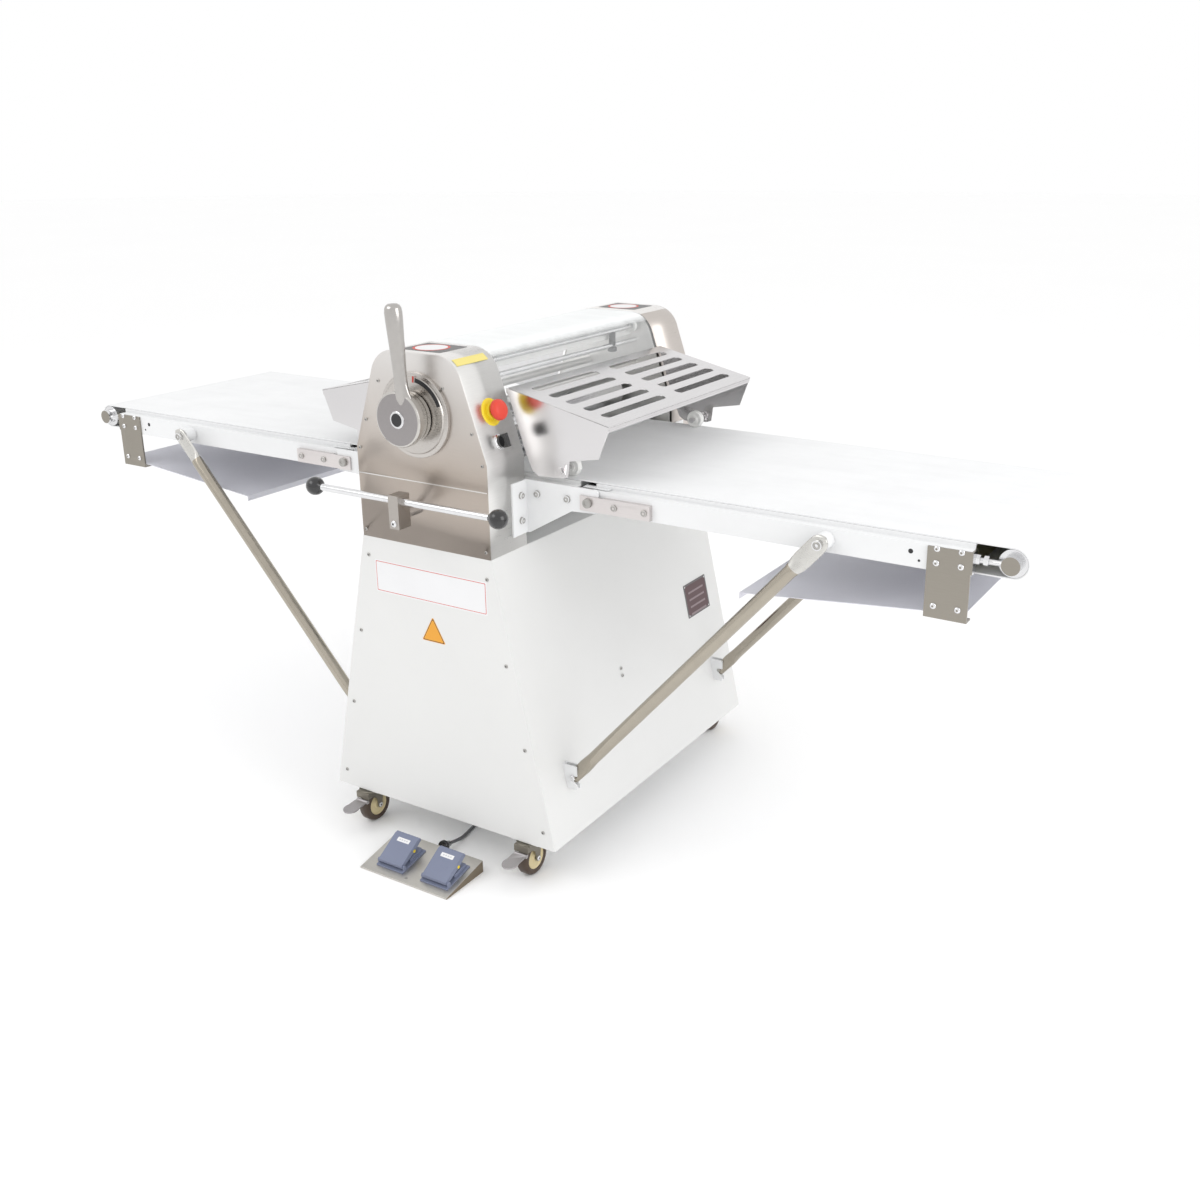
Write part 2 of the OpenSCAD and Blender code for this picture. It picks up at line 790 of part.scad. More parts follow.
module table_frame(s) {
    side(s) color("white") {
        along_x(bed_start, rail_end - bed_start) table_section();
        both_y() translate([rail_start, -rail_half, rail_low])
            cube([bed_start - rail_start, table_t, rail_h - 1]);
        for (x = [bed_start + 60, 620, rail_end - 120]) translate([x, -bed_half + table_t, bed_z - table_t - 18])
            cube([20, 2 * (bed_half - table_t), 18]);
    }
}

// One strap: it carries the fold pin's hole and stands off the rail on a pad
module strap() {
    difference() {
        union() {
            translate([fold_x - 18, -strap_y - strap_t, strap_z - 14.5]) cube([153, strap_t, 29]);
            translate([arm_reach + 12, -strap_y, strap_z - 14.5])
                cube([fold_x + 135 - arm_reach - 12, strap_y - rail_half, 29]);
        }
        rod_y(fold_pin_d / 2 + running, -strap_y - strap_t - 1, strap_t + 2, fold_x, fold_z);
    }
    for (x = [58, 123]) screw_y(fold_x + x, strap_z, -strap_y - strap_t, 6, 3);
}

module end_plate() {
    x0 = rail_end - end_plate_w;
    translate([x0, -rail_half - plate_t, plate_low]) cube([end_plate_w, plate_t, end_plate_h]);
    translate([x0, -rail_half, plate_low]) cube([end_plate_w, 18, 3]);
    difference() {
        translate([rail_end, -rail_half - plate_t, rail_low + 4])
            cube([3, rail_half + plate_t - belt_w / 2 - 1, rail_top - rail_low - 5]);
        rod_x(5 + running, rail_end - 1, 5, -take_up_y, belt_z);
    }
    for (x = [16, 57], z = [-2.5, -27, -101])
        screw_y(x0 + x, plate_top + z, -rail_half - plate_t, 4.5, 2.4);
}

module take_up() {
    rod_x(5, rail_end - 24, 62 - 15 + 24, -take_up_y, belt_z);
    for (x = [rail_end + 3, rail_end + 17]) translate([x, -take_up_y, belt_z])
        rotate([0, 90, 0]) cylinder(r = 9, h = 8, $fn = 6);
}

// The stub shaft of the tail roller, with a flat cross hole for the take-up bolt
module stub_shaft() {
    ring = 15.5;
    difference() {
        rod_y(ring, -take_up_y - 8, 7.7 + 8, tail_x, belt_z);
        rod_x(5, tail_x - 20, 20, -take_up_y, belt_z);
    }
    rod_y(spigot_r, -belt_w / 2 - 1, spigot_l, tail_x, belt_z);
}

module table_fittings(s) {
    side(s) color("silver") both_y() {
        strap();
        end_plate();
        take_up();
        stub_shaft();
        rod_y(9, -strut_y + lug_t / 2 + clear, strut_y - lug_t / 2 - clear - rail_half, strut_x, strut_top_z);
        rod_y(6 - running, -strut_y - lug_t / 2 - clear, lug_t + 2 * clear, strut_x, strut_top_z);
        rod_y(9, -strut_y - lug_t / 2 - clear - 5, 5, strut_x, strut_top_z);
    }
}

module belt(s) {
    side(s) color("white") difference() {
        union() {
            for (x = [drive_x, tail_x]) rod_y(belt_out, -belt_w / 2, belt_w, x, belt_z);
            translate([drive_x, -belt_w / 2, belt_z - belt_out]) cube([tail_x - drive_x, belt_w, 2 * belt_out]);
        }
        for (x = [drive_x, tail_x]) rod_y(belt_in, -belt_w / 2 - 1, belt_w + 2, x, belt_z);
        translate([drive_x, -belt_w / 2 - 1, belt_z - belt_in]) cube([tail_x - drive_x, belt_w + 2, 2 * belt_in]);
    }
}

module drive_roller(s) {
    side(s) color("gainsboro") {
        rod_y(belt_roller_d / 2, -belt_w / 2 - 2, belt_w + 4, drive_x, belt_z);
        rod_y(10, -side_y - 12, 2 * side_y + 24, drive_x, belt_z);
    }
}

module tail_roller(s) {
    side(s) color("gainsboro") difference() {
        rod_y(belt_roller_d / 2, -belt_w / 2, belt_w, tail_x, belt_z);
        for (y = [-belt_w / 2 - 1, belt_w / 2 - spigot_l - 1])
            rod_y(spigot_r + running, y, spigot_l + 2, tail_x, belt_z);
    }
}

module tray(s) {
    x1 = rail_end - 3;
    x0 = x1 - tray_l;
    half = rail_half - clear;
    side(s) color("lightgray") along_y(-half, 2 * half)
        polygon([[x1, tray_z + 8], [x1 - 70, tray_z], [x0, tray_z - tray_drop],
            [x0, tray_z - tray_drop - 12], [x0 + 1.5, tray_z - tray_drop - 12],
            [x0 + 1.5, tray_z - tray_drop - 1.5], [x1 - 70, tray_z - 1.5], [x1, tray_z + 6.5]]);
}

// ---------------------------------------------------------------- struts

module strut() {
    flat = 46;
    translate([strut_foot_x, -strut_y, strut_low]) rotate([0, -strut_angle, 0]) {
        rod_x(strut_d / 2, flat, strut_l - 2 * flat);
        difference() {
            union() {
                translate([0, -lug_t / 2, -lug_r]) cube([flat, lug_t, 2 * lug_r]);
                rod_y(lug_r, -lug_t / 2, lug_t);
            }
        }
        rod_y(strut_pin_r, -lug_t / 2 - 3 - clear, lug_t + 6 + 2 * clear);
        difference() {
            union() {
                translate([strut_l - flat, -lug_t / 2, -lug_r]) cube([flat, lug_t, 2 * lug_r]);
                rod_y(lug_r, -lug_t / 2, lug_t, strut_l);
            }
            rod_y(6, -lug_t / 2 - 1, lug_t + 2, strut_l);
        }
    }
}

module struts(s) {
    side(s) color("silver") both_y() strut();
}

// ---------------------------------------------------------------- casters

// Places a caster, drawn with its wheel rolling along +X, so that it rolls along +Y
module at_caster(sx, sy) {
    translate([sx * caster_x, sy * caster_y, 0]) rotate([0, 0, 90]) children();
}

module caster_fork(sx, sy) {
    at_caster(sx, sy) color("silver") {
        translate([0, 0, crown_z]) cylinder(r = 24, h = fork_top - clear - crown_z);
        both_y() along_y(-fork_gap - fork_t, fork_t)
            polygon([[-26, crown_z + 2], [26, crown_z + 2], [trail + 8, wheel_z - 7],
                [trail - 8, wheel_z - 7], [-30, wheel_z + 16]]);
        translate([-26, -fork_gap, crown_z]) cube([52, 2 * fork_gap, 2]);
        rod_y(axle_r, -fork_gap - fork_t - 2, 2 * (fork_gap + fork_t) + 4, trail, wheel_z);
    }
}

module caster_wheel(sx, sy) {
    at_caster(sx, sy) color("saddlebrown")
        ring_y(wheel_d / 2, axle_r + running, -wheel_w / 2, wheel_w, trail, wheel_z);
}

module brake_pedal(sx) {
    link = 2 * (fork_gap - clear);
    at_caster(sx, -1) color("silver") {
        translate([pedal_x, 0, pedal_z]) rotate([0, -14, 0]) linear_extrude(3) {
            translate([-36, 0]) circle(r = 17);
            translate([-36, -15]) square([28, 30]);
            translate([-12, -link / 2 + 1]) square([12, link - 2]);
        }
        rod_y(4, -link / 2, link, pedal_x, pedal_z);
    }
}

// ---------------------------------------------------------------- foot switch

// Outline of the wedge, inset by t from its faces, with its rear moved by rear
module wedge(t, rear) {
    polygon([[foot_front + (t > 0 ? 12 : 0), t], [foot_back + rear, t], [foot_back + rear, foot_h - t],
        [foot_front + (t > 0 ? 12 : 0), foot_lip + (t > 0 ? 12 * tan(foot_slope) - t : 0)]]);
}

module foot_switch_base() {
    color("silver") difference() {
        along_x(foot_x - foot_w / 2, foot_w) wedge(0, 0);
        along_x(foot_x - foot_w / 2 + sheet, foot_w - 2 * sheet) wedge(sheet, -sheet);
    }
    color("black") {
        rod_y(7, foot_back, 10, gland_x, 14);
        rod_y(5, foot_back + 10, 13, gland_x, 14);
    }
}

// Places a piece on the sloping top of the base, at the front of a treadle
module on_base(i) {
    translate([foot_x + 8 + i * treadle_pitch / 2, foot_front + 18,
        foot_lip + 18 * tan(foot_slope)]) rotate([foot_slope, 0, 0]) children();
}

module foot_switch_housings() {
    color("slategray") for (i = [-1, 1]) on_base(i) {
        translate([-treadle_w / 2 - 2, 0, 0]) cube([treadle_w + 4, housing_l, 3]);
        translate([-treadle_w / 2 + 4, 34, 3]) cube([treadle_w - 8, housing_l - 38, 7]);
        both_x() translate([treadle_w / 2 - 2, 6, 3]) cube([4, 8, 8]);
        rod_x(2.5, -treadle_w / 2 - 2, treadle_w + 4, 10, 11);
    }
}

module treadle(i) {
    w = treadle_w - 4 - 2 * clear;
    color("lightslategray") on_base(i) difference() {
        along_x(-w / 2, w) polygon([[5, 8], [5, 15], [12, 17], [housing_l - 12, 17 + treadle_rise],
            [housing_l - 4, 17 + treadle_rise], [housing_l - 2, 14 + treadle_rise],
            [housing_l - 2, 10 + treadle_rise], [housing_l - 30, 17], [14, 8]]);
        rod_x(2.5 + running, -w / 2 - 1, w + 2, 10, 11);
    }
}

module foot_cord() {
    color("dimgray") swept(CORD_A, cord_d / 2);
    color("dimgray") swept(CORD_B, cord_d / 2);
}

module foot_cord_coil() {
    color("dimgray") translate([coil_x, coil_y, 0.3]) rotate_extrude()
        translate([coil_mid / 2 - coil_turns_w / 2, 0]) square([coil_turns_w, coil_h]);
}

// ---------------------------------------------------------------- nodes

cabinet_frame();
cabinet_side_panels();
cabinet_end_panels();
panel_screws();
head_side_plates();
head_cover_front();
head_cover_rear();
table_brackets();
inner_beds();
hood();
flour_tray();
gear_motor();
drive_pulley();
drive_belt();
bearing_blocks();
scrapers();
bottom_roller();
roller_carriage();
top_roller();
lever_scale();
gap_lever();
direction_bar();
bar_knobs();
switch_bases();
stop_button();
selector_knob();
guard(1);  // guard_right
guard(-1);  // guard_left
guard_rollers(1);  // guard_rollers_right
guard_rollers(-1);  // guard_rollers_left
table_frame(1);  // table_frame_right
table_frame(-1);  // table_frame_left
table_fittings(1);  // table_fittings_right
table_fittings(-1);  // table_fittings_left
belt(1);  // belt_right
belt(-1);  // belt_left
drive_roller(1);  // drive_roller_right
drive_roller(-1);  // drive_roller_left
tail_roller(1);  // tail_roller_right
tail_roller(-1);  // tail_roller_left
tray(1);  // tray_right
tray(-1);  // tray_left
struts(1);  // struts_right
struts(-1);  // struts_left
caster_fork(1, -1);  // caster_fork_front_right
caster_fork(-1, -1);  // caster_fork_front_left
caster_fork(1, 1);  // caster_fork_rear_right
caster_fork(-1, 1);  // caster_fork_rear_left
caster_wheel(1, -1);  // caster_wheel_front_right
caster_wheel(-1, -1);  // caster_wheel_front_left
caster_wheel(1, 1);  // caster_wheel_rear_right
caster_wheel(-1, 1);  // caster_wheel_rear_left
brake_pedal(1);  // brake_pedal_right
brake_pedal(-1);  // brake_pedal_left
foot_switch_base();
foot_switch_housings();
treadle(1);  // treadle_right
treadle(-1);  // treadle_left
foot_cord();
foot_cord_coil();
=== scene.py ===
# %% [markdown]
# # A reversible dough sheeter
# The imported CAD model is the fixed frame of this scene. It gives every place, size and
# joint. The cells below give it finishes, and replace its plain solids with detailed
# pieces where the real machine has softer edges, folds, rings and fittings.

import json
import math

import bmesh
import bpy
from mathutils import Matrix, Vector


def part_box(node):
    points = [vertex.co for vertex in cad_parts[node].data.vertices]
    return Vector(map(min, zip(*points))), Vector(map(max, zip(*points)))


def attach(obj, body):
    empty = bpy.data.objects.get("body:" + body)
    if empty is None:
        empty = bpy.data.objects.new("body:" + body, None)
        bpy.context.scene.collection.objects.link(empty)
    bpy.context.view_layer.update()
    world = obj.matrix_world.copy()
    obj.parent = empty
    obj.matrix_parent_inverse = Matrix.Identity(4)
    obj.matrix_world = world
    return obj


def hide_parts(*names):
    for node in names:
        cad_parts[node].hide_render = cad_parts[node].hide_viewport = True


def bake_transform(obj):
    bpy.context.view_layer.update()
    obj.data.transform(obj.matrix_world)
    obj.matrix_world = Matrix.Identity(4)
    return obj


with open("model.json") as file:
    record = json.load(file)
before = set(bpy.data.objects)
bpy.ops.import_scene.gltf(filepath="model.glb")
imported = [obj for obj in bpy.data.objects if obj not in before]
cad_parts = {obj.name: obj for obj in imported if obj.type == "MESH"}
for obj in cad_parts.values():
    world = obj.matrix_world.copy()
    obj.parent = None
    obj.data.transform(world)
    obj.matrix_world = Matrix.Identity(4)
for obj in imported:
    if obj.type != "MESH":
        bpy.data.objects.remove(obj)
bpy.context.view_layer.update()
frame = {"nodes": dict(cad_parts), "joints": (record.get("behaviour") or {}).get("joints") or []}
NODES = frame["nodes"]
JOINTS = {joint["name"]: joint for joint in frame["joints"]}
SIDES = {"right": 1, "left": -1}
MM = 0.001
X, Y, Z = Vector((1, 0, 0)), Vector((0, 1, 0)), Vector((0, 0, 1))

# %% [markdown]
# ## The camera
# The camera stands a little above the head of the machine, off its right front corner. It
# could follow a target with a constraint, but three plain angles stay put when a piece
# moves. The small lens shift places the machine in the picture without a further tilt.

# %% Place the camera
CAMERA_AT = (1.5873, -2.1969, 1.4422)
CAMERA_TURN = [math.radians(angle) for angle in (90 - 18.602, 0.18, 31.004)]
LENS_MM = 38.16
LENS_SHIFT = (-0.039, -0.035)

camera = bpy.data.objects.new("camera", bpy.data.cameras.new("camera"))
bpy.context.scene.collection.objects.link(camera)
camera.location = CAMERA_AT
camera.rotation_euler = CAMERA_TURN
camera.data.sensor_width = 36
camera.data.lens = LENS_MM
camera.data.shift_x, camera.data.shift_y = LENS_SHIFT
camera.data.clip_start = 0.05
camera.data.clip_end = 100
bpy.context.scene.camera = camera
print("camera at", CAMERA_AT, "lens", LENS_MM, "mm")

# %% [markdown]
# ## Helpers for meshes
# Every new piece starts as a bmesh. These helpers turn one into an object, find the
# separate lumps of a CAD node, and copy a node with its edges rounded. A real edge is
# never perfectly sharp, and the thin highlight on it is most of what makes metal look
# like metal.


# %% Turn a bmesh into an object
def as_piece(name, bm, materials, sharp=35):
    """Makes an object of bm. Edges sharper than this angle stay crisp."""
    mesh = bpy.data.meshes.new(name)
    bm.normal_update()
    bm.to_mesh(mesh)
    bm.free()
    for material in materials:
        mesh.materials.append(material)
    mesh.polygons.foreach_set("use_smooth", [True] * len(mesh.polygons))
    mesh.set_sharp_from_angle(angle=math.radians(sharp))
    piece = bpy.data.objects.new(name, mesh)
    bpy.context.scene.collection.objects.link(piece)
    return piece


def rounded_edges(piece, width, segments=2, angle=40):
    """Rounds the edges of a piece with a Bevel modifier."""
    bevel = piece.modifiers.new("bevel", "BEVEL")
    bevel.width = width
    bevel.segments = segments
    bevel.limit_method = "ANGLE"
    bevel.angle_limit = math.radians(angle)
    bevel.harden_normals = True
    return piece


def place(piece, body, slot, *nodes):
    """Rides a piece on its body and hides the CAD nodes it stands for. The slot is not used."""
    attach(piece, body)
    if nodes:
        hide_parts(*nodes)
    return piece


# %% Copy a CAD node as a clean mesh
def node_mesh(node):
    """A bmesh of a CAD node, with its loose triangles joined into flat faces."""
    bm = bmesh.new()
    bm.from_mesh(NODES[node].data)
    bmesh.ops.remove_doubles(bm, verts=bm.verts, dist=2e-6)
    bmesh.ops.dissolve_limit(bm, angle_limit=math.radians(0.6), use_dissolve_boundaries=False,
                             verts=bm.verts, edges=bm.edges, delimit=set())
    for layer in list(bm.faces.layers.int):
        bm.faces.layers.int.remove(layer)
    for face in bm.faces:
        face.material_index = 0
    return bm


def lumps(bm):
    """The separate lumps of a bmesh: for each, its faces and its box."""
    seen, found = set(), []
    for start in bm.faces:
        if start in seen:
            continue
        stack, faces = [start], []
        seen.add(start)
        while stack:
            face = stack.pop()
            faces.append(face)
            for edge in face.edges:
                for other in edge.link_faces:
                    if other not in seen:
                        seen.add(other)
                        stack.append(other)
        corners = [v.co for f in faces for v in f.verts]
        low = Vector(min(c[i] for c in corners) for i in range(3))
        high = Vector(max(c[i] for c in corners) for i in range(3))
        found.append((faces, low, high))
    return found


def softened(node, body, slot, materials, width=0.6 * MM, paint=None, segments=2, mark=None):
    """A copy of a CAD node with rounded edges. paint(low, high) picks a lump's material,
    and mark(centre, normal) then picks a single face's, or says None."""
    bm = node_mesh(node)
    if paint:
        for faces, low, high in lumps(bm):
            for face in faces:
                face.material_index = paint(low, high)
    if mark:
        bm.normal_update()
        for face in bm.faces:
            chosen = mark(face.calc_center_median(), face.normal)
            if chosen is not None:
                face.material_index = chosen
    piece = rounded_edges(as_piece(node + "_shape", bm, materials), width, segments)
    place(piece, body, slot, node)
    return piece


# %% Shapes that several pieces share
def joined(part, into):
    """Adds one bmesh to another, or hands it back when there is none."""
    if into is None:
        return part
    mesh = bpy.data.meshes.new("part")
    part.to_mesh(mesh)
    part.free()
    into.from_mesh(mesh)
    bpy.data.meshes.remove(mesh)
    return into


def turned(profile, at, axis=Y, steps=64, index=0, into=None):
    """Spins a profile of (along, radius) points round an axis through a point."""
    lathe = bmesh.new()
    verts = [lathe.verts.new((radius, 0, along)) for along, radius in profile]
    edges = [lathe.edges.new(pair) for pair in zip(verts, verts[1:])]
    bmesh.ops.spin(lathe, geom=verts + edges, cent=(0, 0, 0), axis=(0, 0, 1),
                   angle=2 * math.pi, steps=steps, use_merge=True)
    bmesh.ops.remove_doubles(lathe, verts=lathe.verts, dist=1e-6)
    bmesh.ops.recalc_face_normals(lathe, faces=lathe.faces)
    for face in lathe.faces:
        face.material_index = index
    turn = Z.rotation_difference(axis).to_matrix().to_4x4()
    bmesh.ops.transform(lathe, matrix=Matrix.Translation(at) @ turn, verts=lathe.verts)
    return joined(lathe, into)


def plate(bm, at, right, up, outline, thickness, index=0):
    """A thin flat plate on a surface: its outline is in (right, up) metres round a point."""
    out = right.cross(up).normalized()
    part = bmesh.new()
    face = part.faces.new([part.verts.new(at + right * a + up * b) for a, b in outline])
    part.normal_update()
    if face.normal.dot(out) > 0:
        face.normal_flip()
    made = bmesh.ops.extrude_face_region(part, geom=[face])
    top = [g for g in made["geom"] if isinstance(g, bmesh.types.BMVert)]
    bmesh.ops.translate(part, verts=top, vec=out * thickness)
    bmesh.ops.recalc_face_normals(part, faces=part.faces)
    for face in part.faces:
        face.material_index = index
    return joined(part, bm)


def rounded_rect(width, height, radius, steps=5):
    """Points round a rectangle with rounded corners."""
    points = []
    for corner in range(4):
        cx = (width / 2 - radius) * (1, -1, -1, 1)[corner]
        cy = (height / 2 - radius) * (1, 1, -1, -1)[corner]
        for k in range(steps + 1):
            angle = math.pi / 2 * (corner + k / steps)
            points.append((cx + radius * math.cos(angle), cy + radius * math.sin(angle)))
    return points


def disc_points(radius, steps=40):
    """Points round a circle."""
    angles = [2 * math.pi * k / steps for k in range(steps)]
    return [(radius * math.cos(angle), radius * math.sin(angle)) for angle in angles]


def socket_bolt(bm, at, axis, radius, height, index=0, dark=1):
    """A domed bolt head with a socket in its middle, whose floor is painted dark for its shade."""
    turned([(0, 0), (0, radius), (height * 0.45, radius), (height * 0.85, radius * 0.78),
            (height, radius * 0.5), (height, radius * 0.36), (height * 0.55, radius * 0.32)],
           at, axis, 24, index, bm)
    # The socket's floor takes the dark finish: painted shade.
    turned([(height * 0.55, radius * 0.33), (height * 0.55, 0)], at, axis, 6, dark, bm)


def block(bm, low, high, index=0):
    """Adds a box between two corners."""
    low, high = Vector(low), Vector(high)
    size = high - low
    where = Matrix.Translation((low + high) / 2) @ Matrix.Diagonal((*size, 1))
    made = bmesh.ops.create_cube(bm, size=1, matrix=where)
    for face in {f for v in made["verts"] for f in v.link_faces}:
        face.material_index = index
    return made["verts"]


def lofted(bm, rings, sides=32, index=0):
    """Joins ellipses into one closed skin. A ring is (centre, u, v): its two half axes."""
    loops = []
    for centre, u, v in rings:
        normal = u.cross(v).normalized()
        basis = Matrix((u, v, normal)).transposed().to_4x4()
        made = bmesh.ops.create_circle(bm, segments=sides, radius=1, cap_ends=False,
                                       matrix=Matrix.Translation(centre) @ basis)
        loops.append(made["verts"])
    before = set(bm.faces)
    for a, b in zip(loops, loops[1:]):
        edges = {e for v in a for e in v.link_edges if e.other_vert(v) in a}
        edges |= {e for v in b for e in v.link_edges if e.other_vert(v) in b}
        bmesh.ops.bridge_loops(bm, edges=list(edges))
    for loop in (loops[0], loops[-1]):
        edges = {e for v in loop for e in v.link_edges if e.other_vert(v) in loop}
        bmesh.ops.contextual_create(bm, geom=list(edges))
    faces = [f for f in bm.faces if f not in before]
    for face in faces:
        face.material_index = index
    bmesh.ops.recalc_face_normals(bm, faces=faces)
    return bm


print("mesh helpers ready")

# %% [markdown]
# ## Helpers for finishes
# A finish is a small network of nodes. Writing it as arithmetic keeps it short: a Sock
# wraps one output, and adding or multiplying two of them adds the Math node.


# %% Shader arithmetic
class Sock:
    """One node output, with arithmetic."""

    def __init__(self, recipe, out):
        self.recipe, self.out = recipe, out

    def _math(self, operation, a, b):
        return self.recipe.add("ShaderNodeMath", {"operation": operation}, {0: a, 1: b})

    def __add__(self, other):
        return self._math("ADD", self, other)

    def __sub__(self, other):
        return self._math("SUBTRACT", self, other)

    def __rsub__(self, other):
        return self._math("SUBTRACT", other, self)

    def __mul__(self, other):
        return self._math("MULTIPLY", self, other)

    __radd__ = __add__
    __rmul__ = __mul__


class Recipe:
    """Builds one material round a Principled shader."""

    def __init__(self, name, **fixed):
        self.material = bpy.data.materials.new(name)
        self.material.use_nodes = True
        self.tree = self.material.node_tree
        self.shader = self.tree.nodes["Principled BSDF"]
        for socket, value in fixed.items():
            self.shader.inputs[socket.replace("_", " ")].default_value = value

    def add(self, kind, settings=None, inputs=None, output=0):
        """Adds a node: its settings first, then the values or links of its sockets."""
        node = self.tree.nodes.new(kind)
        for key, value in (settings or {}).items():
            setattr(node, key, value)
        for key, value in (inputs or {}).items():
            self.feed(node.inputs[key], value)
        return Sock(self, node.outputs[output])

    def feed(self, socket, value):
        """Links a Sock to a socket, or sets a plain value."""
        if isinstance(value, Sock):
            self.tree.links.new(value.out, socket)
        else:
            socket.default_value = value

    def set(self, socket, value):
        """Feeds one of the shader's own sockets."""
        self.feed(self.shader.inputs[socket], value)

    def place(self, scale=(1, 1, 1)):
        """Object coordinates, stretched by a scale."""
        coords = self.add("ShaderNodeTexCoord", output=3)
        return self.add("ShaderNodeMapping", None, {"Vector": coords, "Scale": scale})

    def noise(self, scale, stretch=(1, 1, 1), detail=3.0, rough=0.5):
        """Noise in object coordinates, stretched along an axis."""
        return self.add("ShaderNodeTexNoise", None,
                        {"Vector": self.place(stretch), "Scale": scale, "Detail": detail,
                         "Roughness": rough})

    def spread(self, value, low, high, start=0.3, end=0.7):
        """Maps a value from start..end to low..high, clamped."""
        return self.add("ShaderNodeMapRange", {"clamp": True},
                        {"Value": value, "From Min": start, "From Max": end,
                         "To Min": low, "To Max": high})

    def blend(self, factor, a, b):
        """A colour between a and b."""
        node = self.tree.nodes.new("ShaderNodeMix")
        node.data_type = "RGBA"
        self.feed(node.inputs[0], factor)
        for socket, colour in ((node.inputs[6], a), (node.inputs[7], b)):
            self.feed(socket, colour if isinstance(colour, Sock) else (*colour, 1))
        return Sock(self, node.outputs[2])

    def bump(self, height, strength, distance=0.001):
        """Raises the surface's shading by a height."""
        self.set("Normal", self.add("ShaderNodeBump", None,
                                    {"Height": height, "Strength": strength,
                                     "Distance": distance}))


print("shader helpers ready")

# %% [markdown]
# ## The metals
# Stainless sheet is drawn with an abrasive belt, so its scratches run one way: noise
# that is stretched many times along the sheet. Broad soft smudges change its gloss. A
# picture of scratches would do as well, but noise needs no file and shows no seams.
# Polished and ground steel have the same structure, finer and shinier.


# %% Steel finishes
def steel(name, tint, rough, grain=(1, 60, 60), depth=0.06, smudge=0.08, painted_glare=None):
    """Brushed or polished steel. grain stretches its scratches along one axis.
    The last argument gives two heights between which a brighter glare is painted into the colour."""
    r = Recipe(name, Metallic=1.0)
    scratches = r.noise(14, grain, detail=6, rough=0.7)
    cloud = r.noise(5, detail=2)
    wear = r.noise(38, detail=4)
    dark = tuple(c * 0.86 for c in tint)
    colour = r.blend(r.spread(scratches * 0.6 + cloud * 0.4, 0, 1), dark, tint)
    # Painted glare: between two heights the colour turns paler, towards a light grey.
    if painted_glare:
        height = r.add("ShaderNodeSeparateXYZ", None, {"Vector": r.place()}, 2)
        bright = r.spread(height + cloud * 0.06, 0, 0.6, *painted_glare)
        colour = r.blend(bright, colour, (0.9, 0.9, 0.9))
    r.set("Base Color", colour)
    r.set("Roughness", r.spread(scratches, rough - 0.05, rough + 0.07)
          + r.spread(cloud, 0, smudge) + r.spread(wear, 0, 0.03, 0.55, 0.75))
    r.bump(scratches, depth, 0.0004)
    return r.material


# The front, side, rear and top stainless are lit and shaded copies of one sheet: their tints paint
# the reflection and shade of each cover face.
stainless_front = steel("stainless_front", (0.49, 0.43, 0.38), 0.30, (2, 60, 60),
                         painted_glare=(0.86, 1.07))
stainless_side = steel("stainless_side", (0.87, 0.86, 0.84), 0.30, (60, 2, 60), 0.04)
stainless_rear = steel("stainless_rear", (0.62, 0.575, 0.54), 0.28, (60, 2, 60), 0.04)
stainless_top = steel("stainless_top", (0.90, 0.88, 0.86), 0.24, (60, 2, 60))
stainless_guard = steel("stainless_guard", (0.75, 0.735, 0.74), 0.15, (40, 1.5, 40), 0.03)
stainless_rail = steel("stainless_rail", (0.60, 0.57, 0.54), 0.24, (2, 60, 60))
# The polished tube's dark, warm tint paints the brown-gold reflection it shows.
stainless_tube = steel("stainless_tube", (0.45, 0.41, 0.345), 0.15, (3, 3, 3), 0.004, 0.04)
end_steel = steel("end_steel", (0.34, 0.315, 0.275), 0.28, (2, 60, 60), 0.03)
strap_steel = steel("strap_steel", (0.74, 0.70, 0.69), 0.32, (2, 60, 60), 0.03)
lug_steel = steel("lug_steel", (0.66, 0.65, 0.62), 0.24, (8, 8, 8), 0.01, 0.06)
block_steel = steel("block_steel", (0.46, 0.43, 0.40), 0.28, (2, 40, 40), 0.03)
base_side_shade = steel("base_side_shade", (0.26, 0.215, 0.16), 0.36, (2, 40, 40), 0.03)
base_steel = steel("base_steel", (0.62, 0.60, 0.56), 0.34, (2, 40, 40), 0.03)
brass_sheet = steel("brass_sheet", (0.62, 0.58, 0.36), 0.30, (60, 2, 60), 0.03)
chrome = steel("chrome", (0.80, 0.80, 0.81), 0.09, (3, 3, 3), 0.002, 0.03)
barrel_metal = steel("barrel_metal", (0.62, 0.60, 0.57), 0.17, (1, 30, 1), 0.01, 0.04)
lever_metal = steel("lever_metal", (0.52, 0.50, 0.48), 0.16, (6, 6, 6), 0.008, 0.05)
disc_metal = steel("disc_metal", (0.36, 0.34, 0.34), 0.30, (30, 1, 30), 0.02, 0.05)
ground_steel = steel("ground_steel", (0.78, 0.78, 0.79), 0.16, (60, 1, 60), 0.02, 0.04)
# The plated steel's dark brown tint paints the shade and brown reflection of the caster forks
# under the cabinet.
zinc = steel("zinc", (0.27, 0.25, 0.21), 0.36, (12, 12, 12), 0.03, 0.12)
# The pedals' steel is a darker copy of the plating, a painted shade against the bright floor it
# reflects.
pedal_steel = steel("pedal_steel", (0.46, 0.44, 0.445), 0.40, (12, 12, 12), 0.03, 0.10)
bolt_steel = steel("bolt_steel", (0.46, 0.45, 0.43), 0.30, (20, 20, 20), 0.03)
print("steel finishes:", len(bpy.data.materials))

# %% [markdown]
# ## Paint, plastic, rubber and cloth
# Powder coat has a fine orange peel. Moulded plastic has a faint grain and a few scuffs.
# The belts are a woven carrier with a food-safe coating, so the weave only shows as a
# fine bump, and flour leaves soft matt patches.


